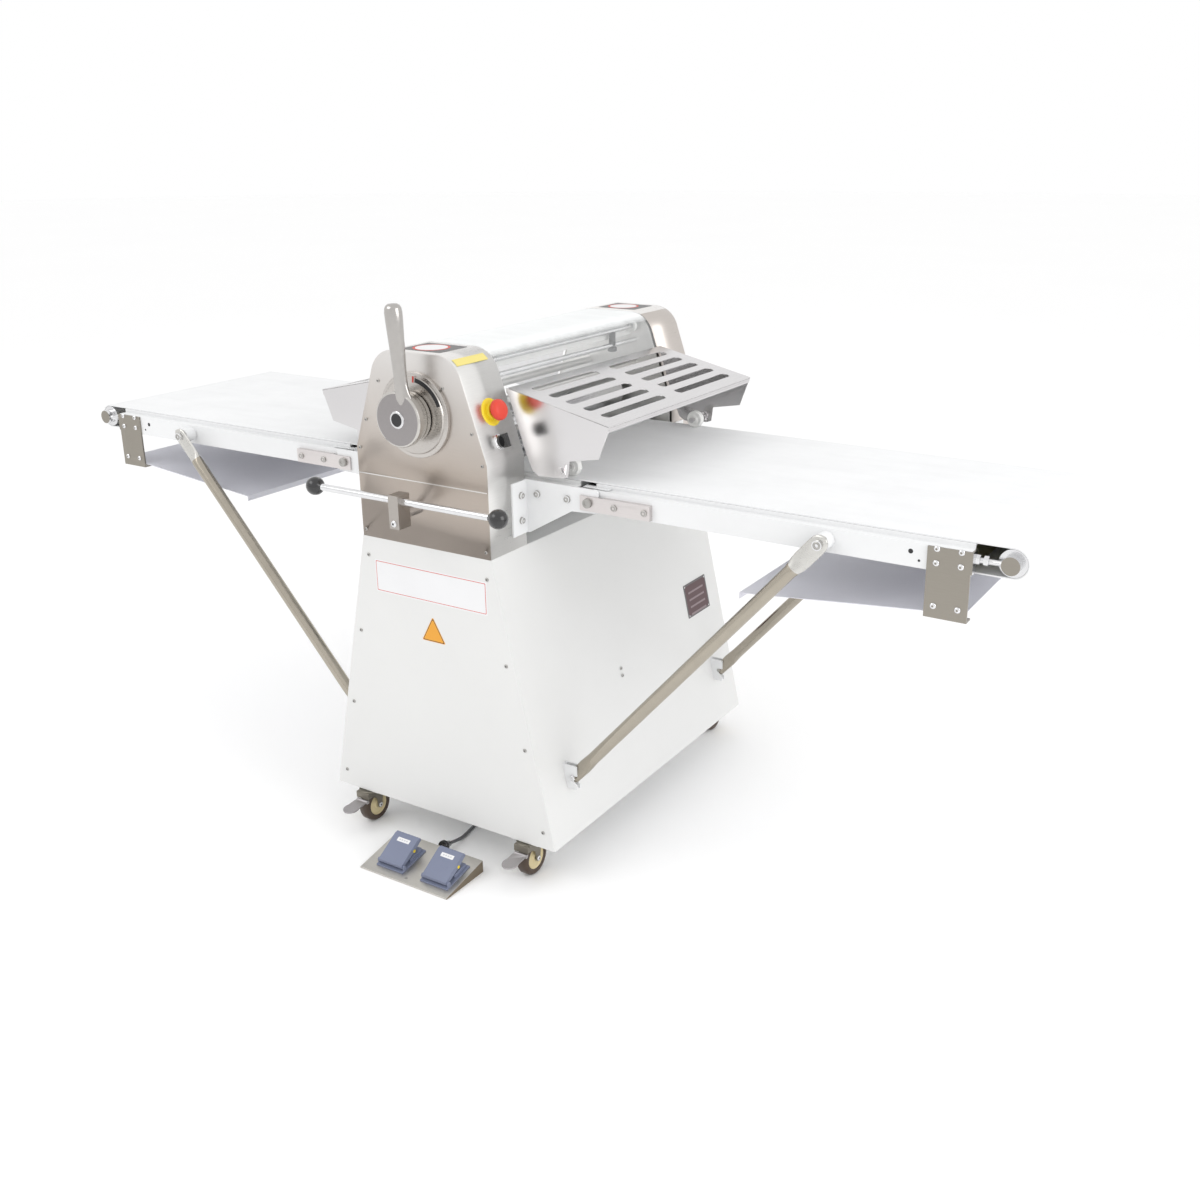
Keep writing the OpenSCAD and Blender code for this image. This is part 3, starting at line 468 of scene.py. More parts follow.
# %% Painted and moulded finishes
def coat(name, colour, rough, peel=900, depth=0.08, dirt=0.05, metallic=0.0, gloss=0.0):
    """Paint or plastic: a base colour with soft stains, orange peel and scuffs."""
    r = Recipe(name, Metallic=metallic, Coat_Weight=gloss, Coat_Roughness=0.15)
    stain = r.noise(3.2, detail=5, rough=0.6)
    grain = r.noise(peel, detail=2)
    scuff = r.noise(55, (1, 1, 4), detail=6, rough=0.75)
    worn = tuple(c * (1 - dirt * 2) for c in colour)
    mask = r.spread(stain, 0, 1, 0.35, 0.75) * 0.6 + r.spread(scuff, 0, 1, 0.6, 0.8) * 0.4
    r.set("Base Color", r.blend(mask, colour, worn))
    r.set("Roughness", r.spread(stain, rough, rough + 0.1)
          + r.spread(scuff, 0, 0.08, 0.55, 0.8))
    r.bump(grain * 0.7 + scuff * 0.3, depth, 0.0005)
    return r.material


def cloth(name, colour, rough=0.55):
    """Coated belt cloth: a fine weave and matt flour patches."""
    r = Recipe(name)
    place = r.place()
    warp = r.add("ShaderNodeTexWave", {"bands_direction": "X"}, {"Vector": place, "Scale": 160})
    weft = r.add("ShaderNodeTexWave", {"bands_direction": "Y"}, {"Vector": place, "Scale": 160})
    weave = warp * weft
    flour = r.noise(9, detail=6, rough=0.65)
    streak = r.noise(3, (1, 9, 9), detail=3)
    shade = tuple(c * 0.94 for c in colour)
    mask = r.spread(flour, 0, 0.6, 0.4, 0.7) + r.spread(streak, 0, 0.4, 0.45, 0.75)
    r.set("Base Color", r.blend(mask, colour, shade))
    r.set("Roughness", r.spread(flour, rough, rough + 0.2))
    r.bump(weave * 0.6 + flour * 0.4, 0.12, 0.0004)
    return r.material


def clear(name, tint):
    """Clear acrylic with fine wipe marks, and a whiter, more opaque flat top: partly flour dust,
    partly a painted glare.
    """
    r = Recipe(name, IOR=1.49)
    haze = r.noise(6, (1, 5, 5), detail=5, rough=0.6)
    height = r.add("ShaderNodeSeparateXYZ", None, {"Vector": r.place()}, 2)
    # Above a set height the sheet turns whiter and more opaque: flour dust and a painted glare of
    # the flat top.
    dust_and_glare = r.spread(height + haze * 0.003, 0, 1, 1.034, 1.047)
    r.set("Base Color", r.blend(r.spread(haze, 0, 1), tint, tuple(c * 0.97 for c in tint)))
    r.set("Roughness", r.spread(haze, 0.03, 0.07) + dust_and_glare * 0.35)
    r.set("Alpha", r.spread(haze, 0.10, 0.16) + dust_and_glare * 0.72)
    return r.material


white_paint = coat("white_paint", (0.86, 0.865, 0.86), 0.32, gloss=0.2)
panel_paint = coat("panel_paint", (0.74, 0.74, 0.73), 0.38, dirt=0.02, gloss=0.15)
rail_paint = coat("rail_paint", (0.80, 0.805, 0.81), 0.30, gloss=0.25)
grey_sheet = coat("grey_sheet", (0.72, 0.72, 0.78), 0.34, 500, metallic=0.25)
nylon = coat("nylon", (0.86, 0.86, 0.84), 0.40, 300)
pale_grey = coat("pale_grey", (0.60, 0.60, 0.62), 0.40, 300)
black_gloss = coat("black_gloss", (0.012, 0.012, 0.013), 0.16, 300, 0.03, gloss=0.6)
black_matt = coat("black_matt", (0.02, 0.02, 0.022), 0.45, 300)
red_plastic = coat("red_plastic", (0.72, 0.055, 0.03), 0.34, 300)
pale_yellow = coat("pale_yellow", (0.82, 0.70, 0.22), 0.38, 300)
yellow_plastic = coat("yellow_plastic", (0.86, 0.66, 0.02), 0.38, 300)
enamel = coat("enamel", (0.20, 0.225, 0.32), 0.40, 420, 0.25, 0.10)
motor_paint = coat("motor_paint", (0.09, 0.10, 0.12), 0.45, 300)
tyre_rubber = coat("tyre_rubber", (0.055, 0.030, 0.016), 0.42, 200, 0.2, 0.15, gloss=0.2)
hub_plastic = coat("hub_plastic", (0.66, 0.56, 0.33), 0.40, 200)
cable_grey = coat("cable_grey", (0.13, 0.13, 0.14), 0.50, 700, 0.1)
orange_sign = coat("orange_sign", (0.80, 0.36, 0.03), 0.40, 300)
red_ink = coat("red_ink", (0.62, 0.06, 0.04), 0.40, 300)
paper_white = coat("paper_white", (0.82, 0.82, 0.83), 0.35, 300, gloss=0.2)
plate_brown = coat("plate_brown", (0.10, 0.055, 0.06), 0.40, 300)
plate_ink = coat("plate_ink", (0.26, 0.20, 0.21), 0.40, 300)
dark_plate = coat("dark_plate", (0.14, 0.135, 0.135), 0.40, 300)
belt_cloth = cloth("belt_cloth", (0.84, 0.845, 0.85))
acrylic = clear("acrylic", (0.97, 0.985, 0.985))
print("painted, moulded and woven finishes ready")

# %% [markdown]
# ## The foot switch's cord
# The cord leaves the rear of the foot switch, drops to the floor, runs under the cabinet
# into a flat coil of spare length, and rises to a gland under the cabinet. It could be a
# swept mesh, but a curve with a round bevel keeps its thickness through every bend. Its
# route repeats the points of the CAD model's own tube, and the coil's turns are worked
# out, a diameter apart, in two layers of three.

# %% Lay the cord
CORD_D = 0.007
ROUTE_IN = [(12, -404, 14), (12, -390, 13), (12, -370, 9), (10, -350, 5), (6, -325, 4),
            (2, -300, 4), (-4, -270, 4), (-9, -235, 4), (-11, -205, 4), (-7, -175, 4),
            (4, -148, 4), (14, -128, 4)]
ROUTE_OUT = [(84, -61, 13), (98, -66, 19), (109, -78, 27), (114, -95, 37), (113, -115, 46),
             (108, -133, 54), (102, -145, 61), (100, -150, 67), (100, -150, 72)]
COIL_AT = Vector((0.070, -0.110, 0))
COIL_RINGS = [0.049, 0.042, 0.035, 0.035, 0.042, 0.049]
COIL_LAYERS = [0, 0, 0, 1, 1, 1]
FLOOR_Z = CORD_D / 2 + 0.0004
STEPS_PER_TURN = 24
COIL_TURNS = 5.25
CROSSING = 0.16


def eased(t):
    """A share of 0 to 1 that starts and ends gently."""
    t = min(max(t, 0), 1)
    return t * t * (3 - 2 * t)


def coil_point(turn):
    """A point of the coil after so many turns from its start on the -X side. Over a
    share of a turn, the CROSSING, the cord moves on to its next ring or layer."""
    whole = int(turn)
    share = turn - whole
    last = len(COIL_RINGS) - 1
    radius = COIL_RINGS[min(whole, last)]
    layer = COIL_LAYERS[min(whole, last)]
    if whole > 0 and share < CROSSING and layer == 0:
        before = COIL_RINGS[whole - 1]
        radius = before + (radius - before) * eased(share / CROSSING)
    if whole < last:
        late = eased((share - (1 - CROSSING)) / CROSSING)
        if COIL_LAYERS[whole + 1] != layer:
            layer += late
        elif layer == 1:
            radius += (COIL_RINGS[whole + 1] - radius) * late
    angle = math.pi - turn * 2 * math.pi
    return COIL_AT + Vector((radius * math.cos(angle), radius * math.sin(angle),
                             FLOOR_Z + layer * CORD_D))


def smooth_route(points, per_span=3):
    """More points on a Catmull-Rom curve through a few."""
    out = []
    for i in range(len(points) - 1):
        a, b = points[max(i - 1, 0)], points[i]
        c, d = points[i + 1], points[min(i + 2, len(points) - 1)]
        for k in range(per_span):
            t = k / per_span
            out.append(0.5 * ((2 * b) + (c - a) * t + (2 * a - 5 * b + 4 * c - d) * t * t
                              + (3 * b - a - 3 * c + d) * t ** 3))
    return out + [points[-1]]


coil_steps = int(COIL_TURNS * STEPS_PER_TURN)
coil = [coil_point(i / STEPS_PER_TURN) for i in range(coil_steps + 1)]
lead_in = [Vector(p) * MM for p in ROUTE_IN]
lead_out = [Vector(p) * MM for p in ROUTE_OUT]
route = smooth_route(lead_in + coil[:2])[:-4] + coil + smooth_route([coil[-1]] + lead_out)[2:]
cord_length = sum((b - a).length for a, b in zip(route, route[1:]))

cord_curve = bpy.data.curves.new("foot_switch_cord", "CURVE")
cord_curve.dimensions = "3D"
cord_curve.bevel_depth = CORD_D / 2
cord_curve.bevel_resolution = 4
cord_curve.use_fill_caps = True
spline = cord_curve.splines.new("POLY")
spline.points.add(len(route) - 1)
for point, where in zip(spline.points, route):
    point.co = (*where, 1)
cord_curve.materials.append(cable_grey)
cord = bpy.data.objects.new("foot_switch_cord", cord_curve)
bpy.context.scene.collection.objects.link(cord)
place(cord, "cabinet", "grey_cable", "foot_cord", "foot_cord_coil")
print("cord length", round(cord_length, 3), "m,", len(route), "points")

# %% [markdown]
# ## The cabinet
# Panels of painted sheet on a welded frame. They could be drawn again, but the CAD plates
# already have the right outline, so a copy with a small radius on each edge is enough.


# %% Panels and frame
for node in ("cabinet_side_panels", "cabinet_end_panels"):
    softened(node, "cabinet", "white_paint", [panel_paint], 0.5 * MM)
for node in ("cabinet_frame", "inner_beds"):
    softened(node, "cabinet", "white_paint", [white_paint], 0.4 * MM)

# %% [markdown]
# ## The panel screws
# The screws that hold the panels are domed heads with a cross recess. The cross could be
# cut with a Boolean, but two thin dark bars, a painted shade of the recess, look the same at this
# size and stay light.
# Each head sits where the CAD model has its disc.


# %% Screws with a cross recess
def screw_head(bm, at, axis, radius, height, index=0):
    """A domed screw head, with the shade of its cross recess painted as two thin dark bars."""
    profile = [(0, 0), (0, radius), (height * 0.35, radius), (height * 0.8, radius * 0.72),
               (height, radius * 0.38), (height, 0)]
    turned(profile, at, axis, steps=20, index=index, into=bm)
    turn = Z.rotation_difference(axis).to_matrix().to_4x4()
    for angle in (20, 110):
        spin = Matrix.Rotation(math.radians(angle), 4, "Z")
        size = Matrix.Diagonal((radius * 1.1, radius * 0.2, height * 0.3, 1))
        move = Matrix.Translation(at + axis * height * 0.95)
        made = bmesh.ops.create_cube(bm, size=1, matrix=move @ turn @ spin @ size)
        for face in {f for v in made["verts"] for f in v.link_faces}:
            face.material_index = 1


source = node_mesh("panel_screws")
bm = bmesh.new()
heads = 0
for faces, low, high in lumps(source):
    centre, size = (low + high) / 2, high - low
    thin = min(range(3), key=lambda i: size[i])
    axis = Vector((0, 0, 0))
    axis[thin] = 1 if centre[thin] > 0 else -1
    start = centre - axis * size[thin] / 2
    screw_head(bm, start, axis, max(size) / 2, size[thin] * 0.9)
    heads += 1
source.free()
place(as_piece("panel_screw_heads", bm, [bolt_steel, black_matt]), "cabinet", "zinc_steel",
      "panel_screws")
print("screw heads:", heads)

# %% [markdown]
# ## The head covers
# Each cover is a stainless box, open below and towards the rollers. A softened copy of
# the CAD node would leave its folds too sharp, so the cover is drawn as an outline,
# extruded to its depth, and its front edge is rounded with a bevel before the sheet gets
# its thickness. Its front, its sloping side and its top take three tints of one stainless,
# lit and shaded copies that paint the reflection each face shows.

# %% Build the covers
cover_low, cover_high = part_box("head_cover_front")
SHEET = 1.5 * MM
NEAR = 1e-5
HOLES_HALF_X = 0.04
HOLES_BELOW_TOP = 0.02
INSIDE_R = 0.09


def cover_outline():
    """The cover's outline from the CAD node's own front edge, in order round it."""
    bm = node_mesh("head_cover_front")
    front = [v.co.copy() for v in bm.verts if v.co.y < cover_low.y + NEAR]
    bm.free()
    half = cover_high.x
    rim = [p for p in front if p.z > cover_low.z + NEAR or abs(abs(p.x) - half) < NEAR]
    centre = Vector((0, 0, (cover_low.z + cover_high.z) / 2))
    outer = [p for p in rim if (p - centre).length > INSIDE_R and not hole(p)]
    return sorted(outer, key=lambda p: math.atan2(p.z - centre.z, p.x))


def hole(p):
    """Whether a point lies on one of the shaft holes of the front face."""
    return abs(p.x) < HOLES_HALF_X and p.z < cover_high.z - HOLES_BELOW_TOP


def build_cover(name, node, y_front, y_inner, slope):
    """One cover. slope is the finish of its sloping side."""
    outline = cover_outline()
    bm = bmesh.new()
    verts = [bm.verts.new((p.x, y_front, p.z)) for p in outline]
    face = bm.faces.new(verts)
    bottom = min(face.edges, key=lambda e: (e.verts[0].co.z + e.verts[1].co.z))
    rim = [e for e in face.edges if e is not bottom]
    made = bmesh.ops.extrude_edge_only(bm, edges=rim)
    moved = [g for g in made["geom"] if isinstance(g, bmesh.types.BMVert)]
    bmesh.ops.translate(bm, verts=moved, vec=(0, y_inner - y_front, 0))
    bmesh.ops.recalc_face_normals(bm, faces=bm.faces)
    if face.normal.y * (y_inner - y_front) > 0:
        bmesh.ops.reverse_faces(bm, faces=bm.faces)
    bmesh.ops.bevel(bm, geom=rim, offset=3 * MM, segments=3, profile=0.5, affect="EDGES",
                    material=-1, clamp_overlap=True)
    # Each face takes a lit or shaded copy of the stainless by the way it looks: painted reflection
    # and shade.
    for f in bm.faces:
        f.normal_update()
        if abs(f.normal.y) > 0.7:
            f.material_index = 0
        else:
            f.material_index = 1 if abs(f.normal.x) > 0.45 else 2
    piece = as_piece(name, bm, [stainless_front, slope, stainless_top], 25)
    wall = piece.modifiers.new("wall", "SOLIDIFY")
    wall.thickness = SHEET
    wall.offset = -1
    place(piece, "cabinet", "stainless", node)
    return piece


build_cover("head_cover_front_shell", "head_cover_front", cover_low.y, cover_high.y,
            stainless_side)
rear_low, rear_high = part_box("head_cover_rear")
build_cover("head_cover_rear_shell", "head_cover_rear", rear_high.y, rear_low.y,
            stainless_rear)
print("covers", [round(v, 3) for v in cover_high - cover_low])

# %% [markdown]
# ## The clear hood, flour tray and what lies under them
# The hood is a bent acrylic sheet over a white tray, with side plates, scrapers and
# bearing blocks under it and the drive in the cabinet. Most of this is hidden or only
# seen through the sheet, so softened copies of the CAD nodes are enough.

# %% Hood, tray, plates, rollers and scrapers
softened("hood", "cabinet", "clear_acrylic", [acrylic], 0.8 * MM)
softened("flour_tray", "cabinet", "white_plastic", [nylon], 0.7 * MM)
softened("head_side_plates", "cabinet", "stainless", [stainless_side], 0.5 * MM)
softened("scrapers", "cabinet", "stainless", [stainless_rail], 0.4 * MM)
for node, body, slot in (("bearing_blocks", "cabinet", "zinc_steel"),
                         ("roller_carriage", "carriage", "zinc_steel"),
                         ("drive_pulley", "motor_shaft", "zinc_steel")):
    softened(node, body, slot, [zinc], 0.8 * MM)
softened("gear_motor", "cabinet", "motor_paint", [motor_paint], 3 * MM)
softened("drive_belt", "cabinet", "black_rubber", [black_matt], 0.8 * MM)


def centre_of(node):
    """The middle and the size of a CAD node."""
    low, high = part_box(node)
    return (low + high) / 2, high - low


print("head sheets and drive softened")

# %% [markdown]
# ## The rollers
# The upper sheeting roller is a ground barrel with stepped shafts. A turned profile gives
# its edges their small chamfers exactly, as a lathe does. The other rollers are mostly
# hidden by the belts, so softened copies do.

# %% Turn the upper roller, soften the others
ROLLER_R = 44 * MM
SHAFT_R = 15 * MM
ROLLER_FACE = 262 * MM
CHAMFER = 1.5 * MM

centre, size = centre_of("top_roller")
end = size.y / 2
half = [(ROLLER_FACE - CHAMFER, ROLLER_R), (ROLLER_FACE, ROLLER_R - CHAMFER),
        (ROLLER_FACE, SHAFT_R), (end - 1 * MM, SHAFT_R), (end, SHAFT_R - 1 * MM), (end, 0)]
profile = [(-along, radius) for along, radius in reversed(half)] + half
top_roller = as_piece("top_roller_ground", turned(profile, centre, Y, steps=128), [ground_steel])
place(top_roller, "upper_roller", "ground_roller", "top_roller")
softened("bottom_roller", "lower_roller", "ground_roller", [ground_steel], 0.8 * MM)
for side in SIDES:
    for node in (f"drive_roller_{side}", f"tail_roller_{side}"):
        softened(node, node, "ground_roller", [ground_steel], 0.8 * MM)
print("upper roller", round(2 * end, 3), "m long over its shafts")

# %% [markdown]
# ## Rods under the hood
# On each side two chromed rods join the side plates under the hood, with a nylon disc on
# the upper one and a small spring over a knob. All of them are round, so they are turned
# into one piece. The spring is a zigzag profile, which reads as a coil through the sheet.

# %% Turn the rods, discs, springs and knobs
ROD_X = 66 * MM
ROD_ENDS = 281 * MM
ROD_R = 5.5 * MM
ROD_HEIGHTS = (0.990, 1.022)
DISC_Y = 0.262
SPRING_Y = 0.183
SPRING_Z, SPRING_L = 0.988, 31 * MM
KNOB_Z = 0.976
PITCH = 1.5 * MM

bm = bmesh.new()
for sx in (1, -1):
    for z in ROD_HEIGHTS:
        half = [(ROD_ENDS - 1 * MM, ROD_R), (ROD_ENDS, ROD_R - 1 * MM), (ROD_ENDS, 0)]
        turned([(-a, r) for a, r in reversed(half)] + half, Vector((sx * ROD_X, 0, z)), Y, 24,
               into=bm)
    turned([(0, 0.006), (0, 0.011), (1 * MM, 0.012), (7 * MM, 0.012), (8 * MM, 0.011),
            (8 * MM, 0.006)], Vector((sx * ROD_X, DISC_Y, ROD_HEIGHTS[1])), Y, 32, index=1,
           into=bm)
    wires = [(1 * MM + PITCH * k, 6.6 * MM + 1.6 * MM * (k % 2)) for k in range(20)]
    turned([(0.5 * MM, 0)] + wires + [(SPRING_L, 0)], Vector((sx * ROD_X, SPRING_Y, SPRING_Z)),
           Z, 24, index=2, into=bm)
    turned([(0, 0), (0, 0.007), (2 * MM, 0.0105), (9 * MM, 0.0105), (11 * MM, 0.008),
            (11 * MM, 0)], Vector((sx * ROD_X, SPRING_Y, KNOB_Z)), Z, 32, index=2, into=bm)
place(as_piece("hood_rods", bm, [chrome, nylon, black_matt]), "cabinet", "chrome_steel")
print("rods under the hood:", 2 * len(ROD_HEIGHTS))

# %% [markdown]
# ## The gap lever
# A casting with a turned hub: a disc with a raised ring and a dark cap in its middle,
# a stepped barrel behind it, and a tapered handle that swells out of the disc and ends
# in a round tip. A cylinder with a taper would look like a rod, so the handle is a loft
# of ellipses, which gives the soft swell of a polished casting. It starts to the right
# of the hub's middle, where the web of the casting runs out of the disc.

# %% Model the lever
hub = Vector(JOINTS["gap_lever_turn"]["pos_m"])
disc_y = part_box("gap_lever")[0].y + 2.5 * MM
disc_at = Vector((hub.x, disc_y, hub.z))
HUB_R = 0.053
HANDLE_OFFSET = 12 * MM
HANDLE_LEAN = math.radians(-1.5)
HANDLE_RAKE = -0.035
LEVER_L = 0.214

bm = turned([(0, 0), (0, 0.0125), (1.0 * MM, 0.0135), (1.0 * MM, 0.0125), (0.2 * MM, 0.0118),
             (0.2 * MM, 0.0)], Vector((hub.x, disc_y - 2.3 * MM, hub.z)), Y, 48, index=1)
turned([(-2.2 * MM, 0.0125), (-2.2 * MM, 0.0155), (-1.4 * MM, 0.0165), (0, 0.017)],
       disc_at, Y, 64, index=2, into=bm)
turned([(0, 0.017), (0, HUB_R - 4 * MM)], disc_at, Y, 96, index=3, into=bm)
turned([(0, HUB_R - 4 * MM), (1.2 * MM, HUB_R - 1.2 * MM), (3 * MM, HUB_R),
        (14 * MM, HUB_R), (15 * MM, HUB_R - 1 * MM), (15 * MM, HUB_R - 4 * MM),
        (17 * MM, HUB_R - 5 * MM), (28 * MM, HUB_R - 5 * MM), (28.5 * MM, HUB_R - 7 * MM),
        (30.5 * MM, HUB_R - 7 * MM), (31 * MM, HUB_R - 5 * MM), (38.5 * MM, HUB_R - 5 * MM),
        (40 * MM, HUB_R - 6.5 * MM), (40 * MM, 0.0)], disc_at, Y, 96, index=4, into=bm)

up = Vector((math.sin(HANDLE_LEAN), HANDLE_RAKE, math.cos(HANDLE_LEAN))).normalized()
across = up.cross(Y).normalized()
front = across.cross(up).normalized()
start = disc_at + X * HANDLE_OFFSET + Y * 8 * MM
HANDLE = [(0.024, 31, 7), (0.034, 26, 7), (0.043, 21, 7.5), (0.051, 17.2, 8), (0.060, 15.0, 8.6),
          (0.072, 13.8, 9.4), (0.090, 13.6, 10.4), (0.125, 14.6, 12.4), (0.155, 15.6, 14.2),
          (0.180, 16.5, 15.6), (0.198, 16.9, 16), (0.206, 15.8, 15), (0.2105, 13.2, 12.6),
          (0.2132, 9.2, 8.8), (LEVER_L, 4, 4)]
rings = [(start + up * s, across * a * MM, front * b * MM) for s, a, b in HANDLE]
lofted(bm, rings, 40)
lever = as_piece("gap_lever_casting", bm, [lever_metal, black_matt, chrome, disc_metal,
                                            barrel_metal], 30)
place(lever, "lever", "chrome_steel", "gap_lever")
print("lever tip at", [round(v, 3) for v in start + up * LEVER_L])

# %% [markdown]
# ## The fixed scale ring behind the lever
# A turned steel ring with a raised rim. Its marks could be a picture on the face, but
# two thin bands of their own, one black and one red, stay crisp and need no picture.

# %% Turn the ring and mark it
scale_low, scale_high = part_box("lever_scale")
SCALE_R = (scale_high.x - scale_low.x) / 2
scale_face = scale_low.y
bm = turned([(0, 0.0126), (0, SCALE_R - 10 * MM), (1.5 * MM, SCALE_R - 8.5 * MM),
             (3.6 * MM, SCALE_R - 8 * MM), (4 * MM, SCALE_R - 6 * MM),
             (4.4 * MM, SCALE_R - 1 * MM), (5.4 * MM, SCALE_R), (12 * MM, SCALE_R),
             (13 * MM, SCALE_R - 1 * MM), (13 * MM, 0.0126)],
            Vector((hub.x, scale_face, hub.z)), Y, 128)


def arc_band(bm, centre, y, inner, outer, start, end, index, steps=40):
    """A flat curved band on a face that looks towards -Y. Its angles start at the top."""
    ray = Vector((math.sin(math.radians(start)), 0, math.cos(math.radians(start))))
    first = [bm.verts.new(Vector((centre.x, y, centre.z)) + ray * r) for r in (inner, outer)]
    edge = bm.edges.new(first)
    bmesh.ops.spin(bm, geom=first + [edge], cent=(centre.x, y, centre.z), axis=(0, 1, 0),
                   dvec=(0, 0, 0), angle=math.radians(end - start), steps=steps)
    band = {f for f in bm.faces if all(abs(v.co.y - y) < 1e-7 for v in f.verts)}
    for face in band:
        face.material_index = index
        face.normal_update()
        if face.normal.y > 0:
            face.normal_flip()


arc_band(bm, hub, scale_face - 0.15 * MM, 0.0650, 0.0738, 9, 70, 1)
arc_band(bm, hub, scale_face - 0.20 * MM, 0.0640, 0.0760, 4, 7.5, 2, 4)
place(as_piece("lever_scale_ring", bm, [stainless_rail, black_matt, red_ink]), "cabinet",
      "stainless", "lever_scale")
print("scale ring radius", round(SCALE_R, 4))

# %% [markdown]
# ## The direction bar
# A chromed bar through a clamp block, with a black ball on each end. The bar, its shaft
# and the block are one CAD node, so a softened copy keeps them together, and the block's
# flat faces get a duller finish. The balls are turned, each with the flat of its neck.

# %% Bar and block
BLOCK_X = -10 * MM
BLOCK_HALF = 12.2 * MM
BLOCK_BACK_Y = -0.4375
BLOCK_BOLT_AT = Vector((BLOCK_X, -0.471, 0.737))


def block_face(centre, normal):
    """Picks the square faces of the clamp block from those of the bar and shaft."""
    on_block = abs(centre.x - BLOCK_X) < BLOCK_HALF and centre.y < BLOCK_BACK_Y
    square = abs(normal.x) + abs(normal.y) + abs(normal.z) < 1.01
    return 1 if on_block and square else None


softened("direction_bar", "direction_lever", "chrome_steel", [chrome, block_steel], 0.8 * MM,
         mark=block_face)
bm = bmesh.new()
socket_bolt(bm, BLOCK_BOLT_AT, -Y, 6.5 * MM, 4 * MM)
place(as_piece("bar_block_bolt", bm, [chrome, black_matt]), "direction_lever", "chrome_steel")
print("clamp block bolt at", list(BLOCK_BOLT_AT))

# %% Ball knobs
DOME_STEPS = 14

bm = bmesh.new()
for faces, low, high in lumps(node_mesh("bar_knobs")):
    centre, size = (low + high) / 2, high - low
    radius = size.z / 2
    away = X if centre.x > 0 else -X
    angles = [math.pi * i / DOME_STEPS for i in range(2, DOME_STEPS + 1)]
    dome = [(-math.cos(angle) * radius, math.sin(angle) * radius) for angle in angles]
    dome[-1] = (radius, 0)
    neck = [(dome[0][0] - 2.5 * MM, 0), (dome[0][0] - 2.5 * MM, dome[0][1] * 0.95)]
    turned(neck + dome, centre, away, 48, into=bm)
place(as_piece("bar_ball_knobs", bm, [black_gloss]), "direction_lever", "black_plastic",
      "bar_knobs")
print("ball radius", round(radius, 4))

# %% [markdown]
# ## Stop button and selector
# They stand square on the sloping side of the front cover, so everything here is turned
# about that face's normal, which is the axis of the two joints. The button's stem starts
# above the bottom of its ring by more than its travel, so a press doesn't cut the ring.

# %% Turn the stop button, its base and the selector
press = JOINTS["stop_press"]
travel = press["range_m"][1]
face_out = -Vector(press["axis"]).normalized()
selector_at = Vector(JOINTS["selector_turn"]["pos_m"])
STEM_GAP = 4.6 * MM

source = node_mesh("switch_bases")
base_mid = max(((low + high) / 2 for faces, low, high in lumps(source)), key=lambda c: c.z)
source.free()
base_foot = base_mid - face_out * 5 * MM
bm = turned([(0, 0), (0, 0.0270), (1.6 * MM, 0.0270), (3.2 * MM, 0.0255), (4 * MM, 0.0225),
             (4 * MM, 0.0165), (9 * MM, 0.0160), (10 * MM, 0.0150), (10 * MM, 0.0118),
             (3 * MM, 0.0118), (3 * MM, 0)], base_foot, face_out, 64)
turned([(0, 0), (0, 0.0150), (2.2 * MM, 0.0150), (3.2 * MM, 0.0138), (3.2 * MM, 0.0128),
        (5 * MM, 0.0122), (5 * MM, 0)], selector_at, face_out, 48, index=1, into=bm)
place(as_piece("switch_rings", bm, [yellow_plastic, chrome]), "cabinet", "yellow_plastic",
      "switch_bases")

stem = STEM_GAP + travel
bm = turned([(stem, 0), (stem, 0.0110), (16 * MM, 0.0110), (17 * MM, 0.0150),
             (17.2 * MM, 0.0190), (18.2 * MM, 0.0200), (23 * MM, 0.0200), (26 * MM, 0.0192),
             (29 * MM, 0.0165), (30.5 * MM, 0.0125), (31 * MM, 0.0070), (31 * MM, 0)],
            base_foot, face_out, 64)
place(as_piece("stop_mushroom", bm, [red_plastic]), "stop_head", "red_plastic", "stop_button")

softened("selector_knob", "selector", "black_plastic", [black_gloss], 1.2 * MM, segments=3)
print("stop button base at", [round(v, 3) for v in base_mid], "travel", travel)

# %% [markdown]
# ## Guards
# Each guard is one folded sheet with rows of slots, two cheeks and a hinge rod. The
# slots' rims are rounded as a punched sheet's are, by the bevel of a softened copy. The
# nylon rollers it rests on are turned, with a recess in each end.

# %% Guards and their rest rollers
for side in SIDES:
    softened(f"guard_{side}", f"guard_{side}", "stainless", [stainless_guard], 0.45 * MM)
    bm = bmesh.new()
    source = node_mesh(f"guard_rollers_{side}")
    for faces, low, high in lumps(source):
        centre, size = (low + high) / 2, high - low
        r, w = size.z / 2, size.y / 2
        turned([(-w, 0.00405), (-w, 0.008), (-w + 1.2 * MM, 0.009), (-w + 1.2 * MM, r - 4 * MM),
                (-w, r - 3 * MM), (-w, r - 1 * MM), (-w + 1 * MM, r), (w - 1 * MM, r),
                (w, r - 1 * MM), (w, r - 3 * MM), (w - 1.2 * MM, r - 4 * MM),
                (w - 1.2 * MM, 0.009), (w, 0.008), (w, 0.00405)], centre, Y, 48, into=bm)
    source.free()
    place(as_piece(f"guard_rollers_{side}_turned", bm, [nylon]), f"guard_rollers_{side}",
          "white_plastic", f"guard_rollers_{side}")
print("guard roller", round(2 * r, 3), "m across,", round(2 * w, 3), "m long")

# %% [markdown]
# ## Tables and trays
# The rails are painted sheet, the straps and end plates stainless. They are flat plates,
# so softened copies keep their outlines, and each lump or face picks its own finish by
# its size and place.

# %% Frames, fittings, trays and brackets
TALL = 0.1
SMALL = 0.03
STRAPS_WITHIN_X = 0.5
TAKE_UP_FROM_X = 1.037
STUB_FROM_X = 1.08
TAKE_UP_FROM_Z = 0.75


def fitting_finish(low, high):
    """Dull steel for the end plates, pale steel for the straps, chrome for the rest."""
    if (high - low).z > TALL:
        return 1
    return 2 if max(abs(low.x), abs(high.x)) < STRAPS_WITHIN_X else 0


